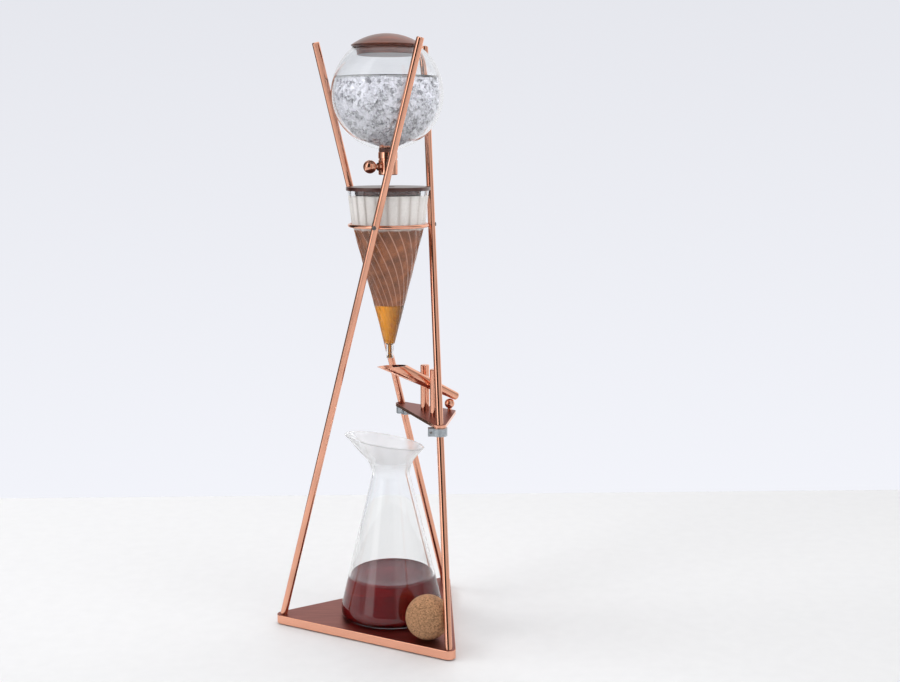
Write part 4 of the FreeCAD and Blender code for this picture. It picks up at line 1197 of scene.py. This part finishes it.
class TOWER_OT_stage(Operator):
    """Set the table, the studio light and the camera."""

    bl_idname = "tower.stage"
    bl_label = "Stage"

    def execute(self, context):
        self.table()
        self.studio(context.scene)
        self.lamps()
        self.camera(context)
        context.scene.view_settings.view_transform = "Standard"
        return {"FINISHED"}

    def table(self):
        """A plain pale table that ends behind the tower."""
        finish = Finish("table_white")
        grain = finish.cloud(scale=60, detail=3)
        finish.colour(finish.ramp(grain, (0.3, (0.80, 0.80, 0.81)), (0.7, (0.82, 0.82, 0.83))))
        left, right, front, back = -TABLE_REACH, TABLE_REACH, -TABLE_REACH, TABLE_BACK
        corners = [(left, front, 0), (right, front, 0), (right, back, 0), (left, back, 0)]
        top = piece("table_top", corners, [(0, 1, 2, 3)], finish.material, smooth=False)
        if top.data.polygons[0].normal.z < 0:
            top.data.flip_normals()

    def studio(self, scene):
        """Pale backdrop for the eye, with bright and dark panels for what is polished."""
        scene.world = bpy.data.worlds.new("studio")
        scene.world.use_nodes = True
        world = Nodes(scene.world.node_tree)
        world.nodes.clear()
        x, y, z = world.axes(world.add("TexCoord").outputs["Generated"])
        heading = world.math("ARCTAN2", x, world.math("MULTIPLY", y, -1))
        round_room = world.span(heading, -math.pi, math.pi)
        above = world.span(z, low=0.86, high=0.97)
        ceiling = (1.15, 1.15, 1.17)
        room = world.mix(above, world.ramp(round_room, *self.panels()), ceiling)
        pale = tint_of("backdrop")
        backdrop = world.ramp(world.span(z, -1, 1), (0.36, scaled(pale, 1.12)), (0.60, scaled(pale, 0.96)))
        ray = world.add("LightPath").outputs
        near = world.math("LESS_THAN", ray["Transmission Depth"], CLEAR_SURFACES + 0.5)
        through = world.math("MULTIPLY", ray["Is Transmission Ray"], near)
        seen = world.math("MAXIMUM", ray["Is Camera Ray"], through)
        lift = world.span(ray["Diffuse Depth"], 0, 1, to_low=1, to_high=LIGHT_THROUGH_GLASS)
        choose = world.add("MixShader")
        end = world.add("OutputWorld")
        world.put(seen, choose.inputs[0])
        world.put(self.background(world, room, 1), choose.inputs[1])
        world.put(self.background(world, backdrop, lift), choose.inputs[2])
        world.put(choose.outputs[0], end.inputs["Surface"])

    def panels(self):
        """Brightness round the room, by heading in degrees from the viewer, positive to the right."""
        panels = {
            "left part of the back wall": ((-180, 0.85), (-152, 0.85)),
            "dark curtain on the left": ((-142, 0.04), (-100, 0.04)),
            "left wall": ((-92, 0.55), (-68, 0.60)),
            "narrow window": ((-62, 1.9), (-46, 1.9)),
            "dark room behind the viewer": ((-40, 0.04), (6, 0.04)),
            "front right wall": ((14, 0.62), (62, 0.75)),
            "right wall": ((78, 0.40), (100, 0.40)),
            "right part of the back wall": ((112, 1.1), (180, 0.95)),
        }
        return [
            ((degrees + 180) / 360, (light, light, light))
            for ends in panels.values() for degrees, light in ends
        ]

    def background(self, world, tint, strength):
        """A background shader's output."""
        node = world.add("Background")
        world.put(tint, node.inputs["Color"])
        world.put(strength, node.inputs["Strength"])
        return node.outputs[0]

    def lamps(self):
        """Three soft panels, not mirrored: a key from the left, a fill from the right, one overhead."""
        panels = (
            ("key", (-1.7, 0.3, 1.8), (0, 0, 0.3), 1.0, 17),
            ("fill", (1.9, -1.2, 1.3), (0, 0, 0.3), 1.2, 8),
            ("over", (0.0, 0.1, 2.6), (0, 0, 0), 1.8, 15),
        )
        for name, spot, target, side, power in panels:
            light = bpy.data.lights.new(name, "AREA")
            light.shape = "SQUARE"
            light.size = side
            light.energy = power
            lamp = link(bpy.data.objects.new(name, light))
            lamp.visible_glossy = False
            lamp.visible_transmission = False
            aim = (Vector(target) - Vector(spot)).to_track_quat("-Z", "Y")
            lamp.matrix_world = Matrix.Translation(spot) @ aim.to_matrix().to_4x4()

    def camera(self, context):
        """The photograph's point of view."""
        data = bpy.data.cameras.new("view")
        data.lens = LENS
        data.sensor_width = SENSOR
        data.clip_start = 0.01
        data.clip_end = 50
        eye = link(bpy.data.objects.new("view", data))
        columns = (Vector(CAMERA_RIGHT), Vector(CAMERA_UP), -Vector(CAMERA_AHEAD))
        turn = Matrix(columns).transposed().to_4x4()
        eye.matrix_world = Matrix.Translation(CAMERA_SPOT) @ turn
        context.scene.camera = eye


OPERATORS = (
    TOWER_OT_metalwork,
    TOWER_OT_water_bulb,
    TOWER_OT_ice,
    TOWER_OT_bulb_lid,
    TOWER_OT_dripper,
    TOWER_OT_filter,
    TOWER_OT_dripper_lid,
    TOWER_OT_carafe,
    TOWER_OT_brew,
    TOWER_OT_cork,
    TOWER_OT_stage,
)


class TOWER_PT_sidebar(Panel):
    """Sizes, colours and pieces of the tower."""

    bl_label = "Drip tower"
    bl_idname = "TOWER_PT_sidebar"
    bl_space_type = "VIEW_3D"
    bl_region_type = "UI"
    bl_category = "Drip tower"

    def draw(self, context):
        """Show the sizes, the colours and a button for each piece."""
        layout = self.layout
        for group in (context.scene.tower_sizes, context.scene.tower_colours):
            box = layout.box()
            for name in group.__annotations__:
                box.prop(group, name)
        for operator in OPERATORS:
            layout.operator(operator.bl_idname)


CLASSES = (TowerSizes, TowerColours, *OPERATORS, TOWER_PT_sidebar)


def register():
    """Make the classes and their settings known."""
    for item in CLASSES:
        bpy.utils.register_class(item)
    bpy.types.Scene.tower_sizes = PointerProperty(type=TowerSizes)
    bpy.types.Scene.tower_colours = PointerProperty(type=TowerColours)


def unregister():
    """Take them away again."""
    del bpy.types.Scene.tower_colours
    del bpy.types.Scene.tower_sizes
    for item in reversed(CLASSES):
        bpy.utils.unregister_class(item)


def main():
    """Make the whole tower."""
    register()
    for operator in OPERATORS:
        group, name = operator.bl_idname.split(".")
        getattr(getattr(bpy.ops, group), name)()


if __name__ == "__main__":
    main()
